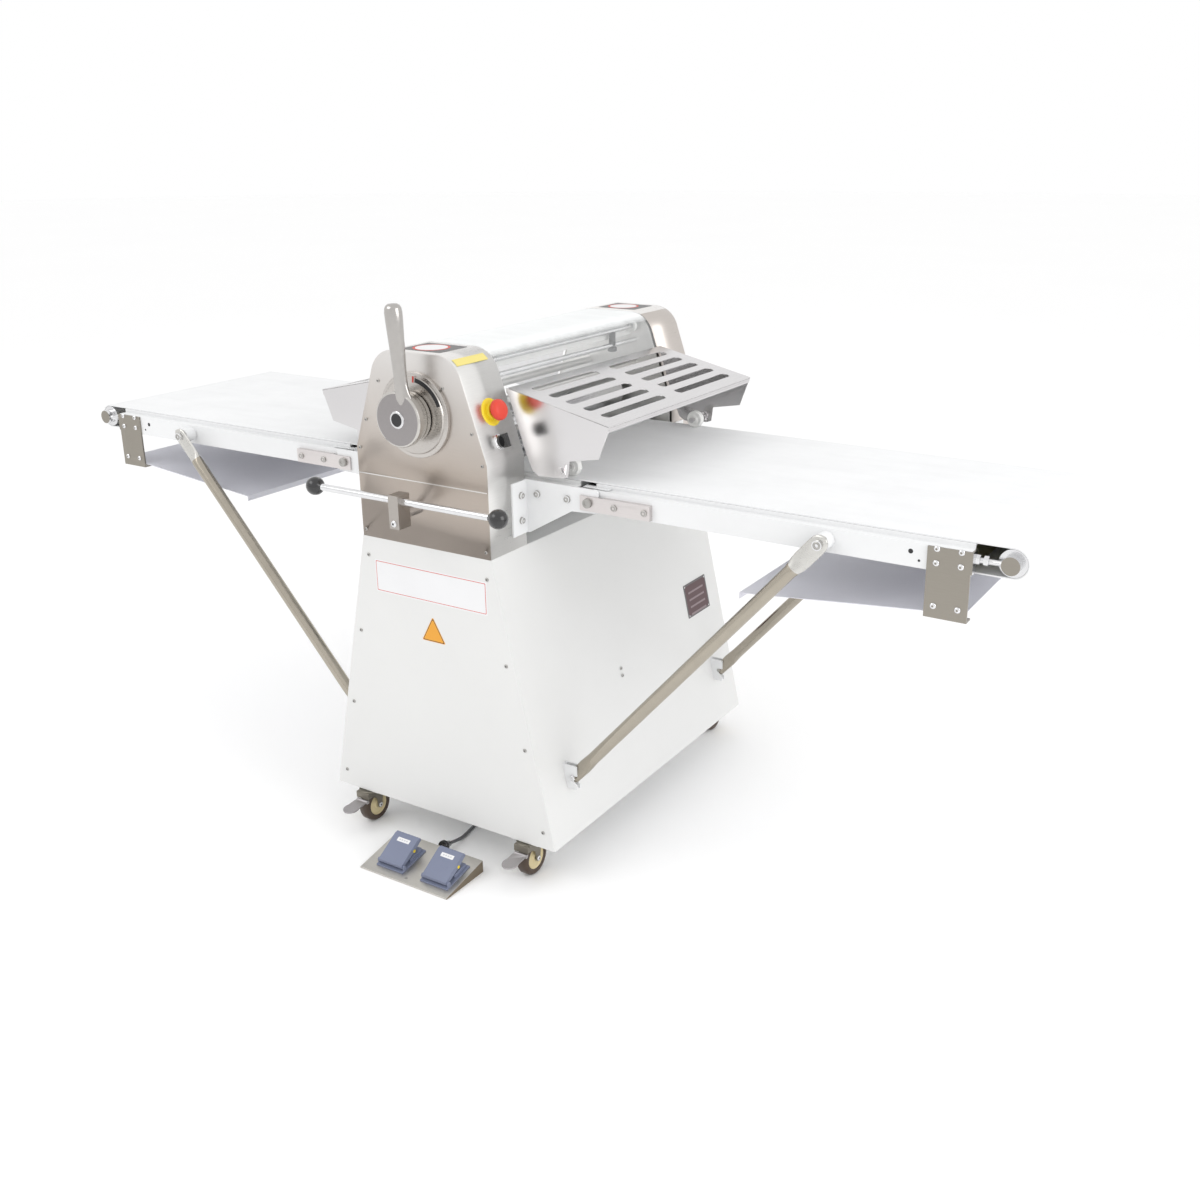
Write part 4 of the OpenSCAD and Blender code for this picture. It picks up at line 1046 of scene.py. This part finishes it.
def take_up_finish(centre, normal):
    """Chrome for the take-up bolt, its nuts and the edges of the stub beyond the end plate. The
    stub's faces toward ±Y take the dull end-plate steel: a painted shade beside its bright
    chamfers.
    """
    if abs(centre.x) < TAKE_UP_FROM_X or centre.z < TAKE_UP_FROM_Z:
        return None
    return 1 if abs(normal.y) > 0.9 and abs(centre.x) > STUB_FROM_X else 0


for side in SIDES:
    body = f"table_{side}"
    softened(f"table_frame_{side}", body, "white_paint", [rail_paint], 0.8 * MM)
    softened(f"table_fittings_{side}", body, "stainless", [chrome, end_steel, strap_steel],
             0.6 * MM, paint=fitting_finish, mark=take_up_finish)
    softened(f"tray_{side}", body, "grey_sheet", [grey_sheet], 0.4 * MM)
softened("table_brackets", "cabinet", "white_paint", [rail_paint, bolt_steel], 0.8 * MM,
         paint=lambda low, high: 1 if max(high - low) < SMALL else 0)
fold = {side: Vector(JOINTS[f"table_{side}_fold"]["pos_m"]) for side in SIDES}
print("tables fold at", {side: [round(v, 3) for v in at] for side, at in fold.items()})

# %% [markdown]
# ## The belts
# A belt is one loop that crosses the fold between the fixed bed and the table. Two loops
# that meet at the fold would show a gap when the table is raised, so it is a single skin
# with close rows of points there.

# %% Belts with close rows at the fold
BELT_T = 2.5 * MM
NEAR_FOLD = 0.07
CLOSE_ROWS, WIDE_ROWS = 6 * MM, 30 * MM
ARC_STEPS = 20
STRIPS = 8


def belt_loop(side, sign):
    """The belt's section as a loop of points, close together near the fold."""
    low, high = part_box(f"belt_{side}")
    radius = (high.z - low.z) / 2 - BELT_T
    mid_z = (high.z + low.z) / 2
    inner = min(abs(low.x), abs(high.x)) + radius + BELT_T
    outer = max(abs(low.x), abs(high.x)) - radius - BELT_T
    hinge_x = abs(fold[side].x)
    stops = [inner + 0.02]
    while stops[-1] < outer - 0.035:
        near = abs(stops[-1] - hinge_x) < NEAR_FOLD
        stops.append(stops[-1] + (CLOSE_ROWS if near else WIDE_ROWS))
    angles = [math.pi * i / ARC_STEPS for i in range(ARC_STEPS + 1)]
    top = [(x, mid_z + radius) for x in stops]
    end = [(outer + radius * math.sin(a), mid_z + radius * math.cos(a)) for a in angles]
    bottom = [(x, mid_z - radius) for x in reversed(stops)]
    start = [(inner - radius * math.sin(a), mid_z - radius * math.cos(a)) for a in angles]
    return [(sign * x, z) for x, z in top + end + bottom + start], low.y, high.y


for side, sign in SIDES.items():
    loop, y0, y1 = belt_loop(side, sign)
    bm = bmesh.new()
    verts = [bm.verts.new((x, y0, z)) for x, z in loop]
    edges = [bm.edges.new((verts[i], verts[(i + 1) % len(verts)])) for i in range(len(verts))]
    for step in range(STRIPS):
        made = bmesh.ops.extrude_edge_only(bm, edges=edges)
        moved = [g for g in made["geom"] if isinstance(g, bmesh.types.BMVert)]
        edges = [g for g in made["geom"] if isinstance(g, bmesh.types.BMEdge)]
        edges = [e for e in edges if all(v in moved for v in e.verts)]
        bmesh.ops.translate(bm, verts=moved, vec=(0, (y1 - y0) / STRIPS, 0))
    bmesh.ops.recalc_face_normals(bm, faces=bm.faces)
    top_face = max(bm.faces, key=lambda f: f.calc_center_median().z)
    if top_face.normal.z > 0:
        bmesh.ops.reverse_faces(bm, faces=bm.faces)
    bmesh.ops.solidify(bm, geom=bm.faces, thickness=BELT_T)
    bmesh.ops.recalc_face_normals(bm, faces=bm.faces)
    belt = as_piece(f"belt_{side}_loop", bm, [belt_cloth], 50)
    pivot = fold[side]
    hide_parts(f"belt_{side}")
    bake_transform(belt)

# %% [markdown]
# ## Small closing pieces of a table
# A brass-coloured sheet closes the end of the bed by the tail roller, a narrow plate
# fills the gap between belt and rail at the fold, and a turned spacer holds each strut
# off its rail. They are flat or round, so boxes and a lathe make them, in one piece per
# table.

# %% Plates and spacers
BED_END_X = (1.034, 1.036)
BED_END_Y = (-0.252, 0.252)
FILL_X, FILL_Y, FILL_Z = (0.2925, 0.347), (0.2615, 0.2754), (0.8044, 0.8060)
SPACER_AT = (0.788, 0.2796, 0.783)
SPACER_L = 27.8 * MM


def block_between(bm, xs, ys, zs, index=0):
    """A box between two numbers on each axis, given in any order."""
    corners = [sorted(pair) for pair in (xs, ys, zs)]
    block(bm, [pair[0] for pair in corners], [pair[1] for pair in corners], index)


for side, sx in SIDES.items():
    bm = bmesh.new()
    low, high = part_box(f"belt_{side}")
    block_between(bm, [sx * x for x in BED_END_X], BED_END_Y,
                  (low.z + 6 * MM, high.z - 6 * MM), 1)
    for sy in (1, -1):
        block_between(bm, [sx * x for x in FILL_X], [sy * y for y in FILL_Y], FILL_Z)
        turned([(0, 0.0095), (0, 0.0145), (1 * MM, 0.0155), (27 * MM, 0.0155),
                (SPACER_L, 0.0145), (SPACER_L, 0.0095)],
               Vector((sx * SPACER_AT[0], sy * SPACER_AT[1], SPACER_AT[2])), Y * sy, 40,
               into=bm)
    closing = as_piece(f"table_{side}_closings", bm, [rail_paint, brass_sheet])
    place(rounded_edges(closing, 0.4 * MM), f"table_{side}", "white_paint")
print("closing pieces on", len(SIDES), "tables")

# %% [markdown]
# ## Shields at the folds
# A small curved sheet stands beside each belt round the fold's pivot, in the gap between
# belt and rail. It is a strip of points on an arc, given a wall by solidify.

# %% Bend the shields
SHIELD_R = 32.6 * MM
SHIELD_Y = (0.262, 0.2754)
SHIELD_ARC = (118, 200)
SHIELD_STEPS = 12

bm = bmesh.new()
for side, sx in SIDES.items():
    for sy in (1, -1):
        rows = []
        for k in range(SHIELD_STEPS + 1):
            angle = SHIELD_ARC[0] + (SHIELD_ARC[1] - SHIELD_ARC[0]) * k / SHIELD_STEPS
            angle = math.radians(angle)
            x = fold[side].x + sx * SHIELD_R * math.cos(angle)
            z = fold[side].z + SHIELD_R * math.sin(angle)
            rows.append([bm.verts.new((x, sy * y, z)) for y in SHIELD_Y])
        for (a, b), (c, d) in zip(rows, rows[1:]):
            bm.faces.new((a, b, d, c))
bmesh.ops.recalc_face_normals(bm, faces=bm.faces)
bmesh.ops.solidify(bm, geom=bm.faces, thickness=0.8 * MM)
bmesh.ops.recalc_face_normals(bm, faces=bm.faces)
place(as_piece("fold_shields", bm, [rail_paint]), "cabinet", "white_paint")
print("shields round a pivot", round(fold["right"].z, 3), "m above the floor")

# %% [markdown]
# ## Struts
# A strut is a polished tube whose ends are pressed flat, rounded and drilled. Scaling the
# end rows of a cylinder would pinch it too sharply, so it is a loft of ellipses that
# flatten towards each end. The wide upper end is a duller lug.

# %% Loft the struts
STRUT_R = 0.0125
FLAT_T = 0.004
LUG_L = 0.0615
PRESSED = [(-0.0125, 0.003), (-0.011, 0.0075), (-0.006, 0.0115), (0.0, 0.013), (0.022, 0.0135)]
LUG = [(-0.0172, 0.004), (-0.0150, 0.0092), (-0.0105, 0.0135), (-0.0040, 0.0162), (0.004, 0.0172),
       (0.044, 0.0172)]


def strut_rings(foot, head):
    """The ellipses of a strut from its lower pin to its upper pin."""
    along = (head - foot).normalized()
    wide = along.cross(Y).normalized()
    length = (head - foot).length
    lower = [(s, w, FLAT_T) for s, w in PRESSED]
    lower += [(0.040, 0.0142, 0.0065), (0.055, 0.0135, 0.0105), (0.070, STRUT_R, STRUT_R)]
    upper = [(s, w, FLAT_T) for s, w in LUG]
    upper += [(0.056, 0.0162, 0.0062), (0.066, 0.0138, 0.0105), (0.076, STRUT_R, STRUT_R)]
    rings = lower + [(length - s, w, t) for s, w, t in reversed(upper)]
    return [(foot + along * s, wide * w, Y * t) for s, w, t in rings]


for side, sign in SIDES.items():
    bm = bmesh.new()
    pin = JOINTS[f"struts_{side}_swing"]["pos_m"]
    source = node_mesh(f"struts_{side}")
    for faces, a, b in lumps(source):
        y = (a.y + b.y) / 2
        head = Vector((pin[0], y, pin[2]))
        inner_x = a.x if sign > 0 else b.x
        foot = Vector((inner_x + sign * 0.013, y, a.z + 0.013))
        lofted(bm, strut_rings(foot, head), 40)
        along = (head - foot).normalized()
        for face in bm.faces:
            below = head - face.calc_center_median()
            if below.dot(along) < LUG_L and below.length < 0.1:
                face.material_index = 2
        out = Y if y > 0 else -Y
        turned([(7.9 * MM, 0), (7.9 * MM, 6.4 * MM), (10.6 * MM, 6.4 * MM), (11.8 * MM, 5.0 * MM),
                (11.8 * MM, 0)], foot, out, 24, index=3, into=bm)
        turned([(-8 * MM, 0), (-8 * MM, 3.6 * MM), (-7.6 * MM, 4 * MM), (7.6 * MM, 4 * MM),
                (8 * MM, 3.6 * MM), (8 * MM, 0)], foot, Y, 24, index=1, into=bm)
    source.free()
    tubes = as_piece(f"struts_{side}_tubes", bm, [stainless_tube, bolt_steel, lug_steel, chrome])
    place(tubes, f"struts_{side}", "stainless", f"struts_{side}")
print("strut from pin to pin", round((head - foot).length, 3), "m")

# %% [markdown]
# ## Casters
# Each wheel has a dark tread with rounded shoulders, a cream hub with a recess, and a
# bolt head. The wheel is turned from two profiles. The fork is a plated pressing: a
# turned crown, a top plate, and two legs extruded from an outline, which shows the slim
# leg that a softened box wouldn't.

# %% Wheels and forks
LEG = [(-25, 76), (-25.5, 66), (-12, 65), (-1, 59), (3, 46), (4, 33.5), (10, 30.2),
       (16, 33.5), (17, 46), (20, 60), (24, 76)]
CROWN_Z = 76 * MM
FORK_HALF = 17.5 * MM


def build_fork(key, centre):
    """A pressed fork: crown disc, top plate and two slim legs with the axle's bolt heads."""
    low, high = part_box(f"caster_fork_{key}")
    swivel = Vector(((low.x + high.x) / 2, centre.y - 10 * MM, 0))
    bm = turned([(CROWN_Z, 0), (CROWN_Z, 0.023), (CROWN_Z + 1 * MM, 0.024),
                 (high.z - 1 * MM, 0.024), (high.z, 0.023), (high.z, 0)], swivel, Z, 40)
    block(bm, (swivel.x - FORK_HALF, swivel.y - 0.025, CROWN_Z - 0.2 * MM),
          (swivel.x + FORK_HALF, swivel.y + 0.025, CROWN_Z + 2 * MM))
    block(bm, (swivel.x - FORK_HALF, swivel.y - 0.0255, 63.5 * MM),
          (swivel.x + FORK_HALF, swivel.y - 0.0235, CROWN_Z))
    for way in (1, -1):
        at = swivel + X * way * 15.5 * MM
        plate(bm, at, Y * way, Z, [(way * a * MM, b * MM) for a, b in LEG], 2.0 * MM)
        bolt = Vector((swivel.x + way * 17.4 * MM, centre.y, centre.z))
        socket_bolt(bm, bolt, X * way, 5.6 * MM, 2.4 * MM, 1, 2)
    piece = as_piece(f"caster_fork_{key}_pressing", bm, [zinc, chrome, black_matt])
    place(rounded_edges(piece, 0.5 * MM), f"caster_{key}", "zinc_steel", f"caster_fork_{key}")


for end in ("front", "rear"):
    for side in SIDES:
        key = f"{end}_{side}"
        node = f"caster_wheel_{key}"
        centre, size = centre_of(node)
        r, w = size.z / 2, size.x / 2
        bm = turned([(-w + 3 * MM, r - 13 * MM), (-w + 0.5 * MM, r - 10 * MM), (-w, r - 7 * MM),
                     (-w + 2 * MM, r - 2.5 * MM), (-w + 6 * MM, r), (w - 6 * MM, r),
                     (w - 2 * MM, r - 2.5 * MM), (w, r - 7 * MM), (w - 0.5 * MM, r - 10 * MM),
                     (w - 3 * MM, r - 13 * MM)], centre, X, 64)
        turned([(-w + 1 * MM, 5.1 * MM), (-w + 1 * MM, 9 * MM), (-w + 4 * MM, 11 * MM),
                (-w + 5 * MM, r - 16 * MM), (-w + 2.5 * MM, r - 13 * MM),
                (w - 2.5 * MM, r - 13 * MM), (w - 5 * MM, r - 16 * MM), (w - 4 * MM, 11 * MM),
                (w - 1 * MM, 9 * MM), (w - 1 * MM, 5.1 * MM)], centre, X, 48, index=1, into=bm)
        place(as_piece(node + "_tyre", bm, [tyre_rubber, hub_plastic]), f"wheel_{key}",
              "brown_tyre", node)
        build_fork(key, centre)
print("wheels", round(2 * r, 4), "m across")

# %% [markdown]
# ## Brake pedals
# The pedal of each front caster is a pressed tongue that stands a little higher than the
# CAD model's. A copy of the node is turned about its own pin, so it still swings there.

# %% Lift the pedals
PEDAL_LIFT = math.radians(-9)

for side in SIDES:
    pivot = Vector(JOINTS[f"brake_{side}_release"]["pos_m"])
    bm = node_mesh(f"brake_pedal_{side}")
    lift = Matrix.Translation(pivot) @ Matrix.Rotation(PEDAL_LIFT, 4, "X")
    bmesh.ops.transform(bm, matrix=lift @ Matrix.Translation(-pivot), verts=bm.verts)
    pedal = as_piece(f"brake_pedal_{side}_pressing", bm, [pedal_steel])
    place(rounded_edges(pedal, 1.0 * MM), f"brake_{side}", "zinc_steel",
          f"brake_pedal_{side}")
print("pedals lifted", round(-math.degrees(PEDAL_LIFT)), "degrees")

# %% [markdown]
# ## Foot switch
# Blue-grey enamelled treadles with soft moulded corners over their housings, on a folded
# stainless base. Their corners are large, so a wide bevel of a few segments makes them.
# The cord enters through a tapered gland, which is turned, and a screw holds the base.

# %% Base, housings and treadles
GLAND_AT = Vector((0.012, -0.4165, 0.0175))
GLAND_AXIS = (Y * 0.99 - Z * 0.14).normalized()
BASE_SCREW_AT = Vector((0.013, -0.5335, 0.0047))
BASE_NORMAL = (Z * 0.985 - Y * 0.17).normalized()

# The base's faces toward ±X take a dark brown copy of its steel: painted shade.
softened("foot_switch_base", "cabinet", "stainless", [base_steel, base_side_shade], 0.6 * MM,
         mark=lambda centre, normal: 1 if abs(normal.x) > 0.8 else None)
bm = turned([(0, 0), (0, 0.0115), (1.5 * MM, 0.0125), (7 * MM, 0.0125), (9 * MM, 0.0105),
             (12 * MM, 0.0085), (24 * MM, 0.0052), (25 * MM, 0.0044), (25 * MM, 0)],
            GLAND_AT, GLAND_AXIS, 32)
socket_bolt(bm, BASE_SCREW_AT, BASE_NORMAL, 3.4 * MM, 1.6 * MM, 1, 0)
place(as_piece("cord_gland", bm, [black_gloss, bolt_steel]), "cabinet", "black_rubber")
softened("foot_switch_housings", "cabinet", "grey_enamel", [enamel], 1.2 * MM, segments=3)
for side in SIDES:
    softened(f"treadle_{side}", f"treadle_{side}", "grey_enamel", [enamel], 2.4 * MM, segments=4)
print("foot switch gland at", [round(v, 3) for v in GLAND_AT])

# %% [markdown]
# ## Bolt heads
# The bolts of the brackets, straps, end plates and struts are domed heads with a hex
# socket. They could be copies of one object, but turned heads in one mesh per body ride
# with it. Their places are in millimetres, for one corner of the machine, and are
# mirrored to all four.

# %% Place the bolts
FLANGE_BOLTS = [(-304, 727), (-304, 777)]
WEB_BOLTS = [(190, 779), (260, 779)]
STRAP_BOLTS = [(367, 777.5), (432, 777.5)]
END_BOLTS = [(x, z) for x in (982, 1023) for z in (799.5, 775, 701)]
FLANGE_X, WEB_Y, STRAP_Y, END_Y, RAIL_Y = 165, 285, 289.3, 283, 279.5
PIVOT_BOLT = (309, 289.7, 779)
STRUT_BOLT = (788, 316, 783)
RAIL_HOLES = [(937, 787, 4.2), (952, 773, 2.2)]


def corner(sx, sy, x, y, z):
    """A place on the right rear corner, mirrored by the two signs, in metres."""
    return Vector((sx * x, sy * y, z)) * MM


bm = bmesh.new()
for sx in (1, -1):
    for sy in (1, -1):
        for y, z in FLANGE_BOLTS:
            socket_bolt(bm, corner(sx, sy, FLANGE_X, -y, z), X * sx, 7.0 * MM, 6.0 * MM)
        for x, z in WEB_BOLTS:
            socket_bolt(bm, corner(sx, sy, x, WEB_Y, z), Y * sy, 7.0 * MM, 6.0 * MM)
        socket_bolt(bm, corner(sx, sy, *PIVOT_BOLT), Y * sy, 9.4 * MM, 5.6 * MM)
place(as_piece("bracket_bolts", bm, [bolt_steel, black_matt]), "cabinet", "zinc_steel")

for side, sx in SIDES.items():
    bm = bmesh.new()
    for sy in (1, -1):
        for x, z in STRAP_BOLTS:
            socket_bolt(bm, corner(sx, sy, x, STRAP_Y, z), Y * sy, 6.8 * MM, 3.6 * MM)
        for x, z in END_BOLTS:
            socket_bolt(bm, corner(sx, sy, x, END_Y, z), Y * sy, 5.4 * MM, 3.6 * MM, index=2)
        socket_bolt(bm, corner(sx, sy, *STRUT_BOLT), Y * sy, 9.0 * MM, 6.5 * MM)
        # Thin black discs stand for the rail's holes: painted shade of holes that are not cut.
        for x, z, r in RAIL_HOLES:
            plate(bm, corner(sx, sy, x, RAIL_Y, z), X * -sy, Z,
                  disc_points(r * MM, 20), 0.2 * MM, 1)
    place(as_piece(f"table_{side}_bolts", bm, [bolt_steel, black_matt, chrome]),
          f"table_{side}", "zinc_steel")
print("bolts on each corner:",
      len(FLANGE_BOLTS) + len(WEB_BOLTS) + len(STRAP_BOLTS) + len(END_BOLTS) + 2)

# %% [markdown]
# ## Blank plates on the cabinet
# A pale plate with a red line round it and an orange triangle on the front panel, and a
# dark rating plate on the right panel. All of them are blank. They could be painted on
# by a mask, but thin plates laid on the sheet catch the light at their edges.

# %% Lay the plates
bm = bmesh.new()
front_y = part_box("cabinet_end_panels")[0].y
label_at = Vector((6.5 * MM, front_y, 591.5 * MM))
LABEL = (283 * MM, 69 * MM)
plate(bm, label_at, X, Z, rounded_rect(*LABEL, 3 * MM), 0.2 * MM, 0)
for width, height, index, depth in ((0.277, 0.063, 1, 0.30), (0.2745, 0.0605, 0, 0.38)):
    plate(bm, label_at, X, Z, rounded_rect(width, height, 2 * MM), depth * MM, index)
TRIANGLE = [(-29, 0), (-27, -1.6), (27, -1.6), (29, 0), (1.6, 49), (-1.6, 49)]
for size, index, depth in ((1.0, 2, 0.3), (0.93, 3, 0.4), (0.86, 2, 0.5)):
    shape = [((a * size) * MM, ((b - 17) * size + 17) * MM) for a, b in TRIANGLE]
    plate(bm, Vector((8.5 * MM, front_y, 476 * MM)), X, Z, shape, depth * MM, index)

PANEL_FOOT_X, PANEL_FOOT_Z = 290, 82
PANEL_IN, PANEL_RISE = 129, 590
lean_up = Vector((-PANEL_IN, 0, PANEL_RISE)).normalized()
panel_out = Vector((PANEL_RISE, 0, PANEL_IN)).normalized()


def on_side_panel(y, z):
    """A point on the sloping right panel, from its place in millimetres."""
    inward = (z - PANEL_FOOT_Z) * PANEL_IN / PANEL_RISE
    return Vector((PANEL_FOOT_X - inward, y, z)) * MM


rating = on_side_panel(297, 390)
plate(bm, rating, Y, lean_up, rounded_rect(0.103, 0.080, 2 * MM), 0.7 * MM, 4)
plate(bm, rating, Y, lean_up, rounded_rect(0.094, 0.071, 2 * MM), 0.85 * MM, 5)
for a in (-0.034, -0.017, 0.0, 0.017):
    plate(bm, rating + lean_up * a, Y, lean_up, rounded_rect(0.070, 0.0045, 1 * MM), 0.95 * MM, 6)
for a in (-0.046, 0.046):
    for b in (-0.035, 0.035):
        socket_bolt(bm, rating + Y * a + lean_up * b + panel_out * 0.7 * MM, panel_out,
                    2 * MM, 0.9 * MM, 7, 3)
place(as_piece("cabinet_plates", bm, [paper_white, red_ink, orange_sign, black_matt, dark_plate,
                                      plate_brown, plate_ink, chrome]), "cabinet", "white_paint")
print("label plate", LABEL[0], "by", LABEL[1], "m, rating plate at", list(rating))

# %% [markdown]
# ## Stickers and the seam of the covers
# A blank round sticker lies on the top of each cover, and a yellow strip is bent over the
# rounded corner of the front one, so it is a row of quads on the corner's own arc. The seam
# where the lower sheet begins is a thin strip of pale steel: a painted highlight on its edge.

# %% Lay the stickers
STRIP_ARC = (32, 48)
STRIP_STEPS = 6
STRIP_Y = (-0.392, -0.300)
CORNER_AT, CORNER_R = (0.052, 0.993), 0.0604
SEAM_HALF, SEAM_Z = 0.1588, (0.8020, 0.8042)

bm = bmesh.new()
top_z = cover_high.z
for sy in (-1, 1):
    at = Vector((2 * MM, sy * 0.3425, top_z))
    plate(bm, at, X, Y, rounded_rect(0.098, 0.084, 4 * MM), 0.25 * MM, 0)
    plate(bm, at - X * 6 * MM, X, Y, disc_points(0.036), 0.35 * MM, 1)
    plate(bm, at - X * 6 * MM, X, Y, disc_points(0.031), 0.45 * MM, 2)
strip = bmesh.new()
rows = []
for k in range(STRIP_STEPS + 1):
    angle = math.radians(STRIP_ARC[0] + (STRIP_ARC[1] - STRIP_ARC[0]) * k / STRIP_STEPS)
    x = CORNER_AT[0] + CORNER_R * math.sin(angle)
    z = CORNER_AT[1] + CORNER_R * math.cos(angle)
    rows.append([strip.verts.new((x, y, z)) for y in STRIP_Y])
for (a, b), (c, d) in zip(rows, rows[1:]):
    strip.faces.new((a, b, d, c)).material_index = 3
strip.normal_update()
if max(strip.faces, key=lambda f: f.calc_center_median().z).normal.z < 0:
    bmesh.ops.reverse_faces(strip, faces=strip.faces)
joined(strip, bm)
place(as_piece("cover_stickers", bm, [dark_plate, red_ink, paper_white, pale_yellow]), "cabinet",
      "stainless")

# The seam strip takes the pale side steel on a front face: a painted highlight.
bm = bmesh.new()
block(bm, (-SEAM_HALF, cover_low.y - 0.5 * MM, SEAM_Z[0]),
      (SEAM_HALF, cover_low.y + 0.2 * MM, SEAM_Z[1]))
place(as_piece("cover_seam", bm, [stainless_side]), "cabinet", "stainless")
print("stickers at", round(top_z, 4), "m, strip of", STRIP_STEPS, "faces")

# %% [markdown]
# ## Labels of the foot switch
# A blank label lies on each treadle, and a yellow dot on its right side. The treadle
# slopes, so the label's directions come from the normal of its largest upper face.

# %% Label the treadles
for side in SIDES:
    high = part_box(f"treadle_{side}")[1]
    source = node_mesh(f"treadle_{side}")
    top = max(source.faces, key=lambda f: f.calc_area() * (f.normal.z > 0.5))
    up_slope = (Z - top.normal * top.normal.z).normalized()
    middle = top.calc_center_median()
    normal = top.normal.copy()
    source.free()
    bm = bmesh.new()
    right = up_slope.cross(normal).normalized()
    if right.x < 0:
        right = -right
    at = middle + up_slope * 0.018
    plate(bm, at, right, normal.cross(right), rounded_rect(0.032, 0.009, 1 * MM), 0.25 * MM, 0)
    for a in (-0.009, -0.003, 0.003, 0.009):
        plate(bm, at + right * a, right, normal.cross(right), rounded_rect(0.004, 0.003, 0.5 * MM),
              0.32 * MM, 1)
    dot_at = Vector((high.x, middle.y + 0.012, middle.z - 0.0045))
    plate(bm, dot_at, Y, Z, disc_points(3.4 * MM, 24), 0.3 * MM, 2)
    place(as_piece(f"treadle_{side}_label", bm, [paper_white, pale_grey, yellow_plastic]),
          f"treadle_{side}", "grey_enamel")
print("plates and labels laid")

# %% [markdown]
# ## Room
# A pale floor and soft light from all round, brightest from the upper front. A single lamp
# would throw hard shadows over the bright sheet, so two large soft boxes help the even
# light of the world.

# %% Floor, world and lights
bm = bmesh.new()
bmesh.ops.create_circle(bm, segments=64, radius=30, cap_ends=True)
r = Recipe("floor_paint", Roughness=0.9)
r.set("Base Color", r.blend(r.noise(0.6), (1.0, 1.0, 1.0), (0.985, 0.985, 0.985)))
floor = as_piece("floor", bm, [r.material])

world = bpy.data.worlds.new("studio")
world.use_nodes = True
background = world.node_tree.nodes["Background"]
background.inputs["Color"].default_value = (1, 1, 1, 1)
background.inputs["Strength"].default_value = 1.0
bpy.context.scene.world = world
bpy.context.scene.view_settings.view_transform = "Standard"


def softbox(name, at, look, size, power):
    """A rectangular area light at a place, turned towards another."""
    light = bpy.data.objects.new(name, bpy.data.lights.new(name, "AREA"))
    light.data.shape = "RECTANGLE"
    light.data.size, light.data.size_y = size
    light.data.energy = power
    light.location = at
    light.rotation_euler = (Vector(look) - Vector(at)).to_track_quat("-Z", "Y").to_euler()
    bpy.context.scene.collection.objects.link(light)


softbox("key", (-1.6, -2.6, 3.2), (0, 0, 0.7), (2.4, 1.6), 24)
softbox("fill", (3.6, -0.4, 2.0), (0.2, 0, 0.6), (2.4, 2.4), 38)
print("floor and two soft boxes set")
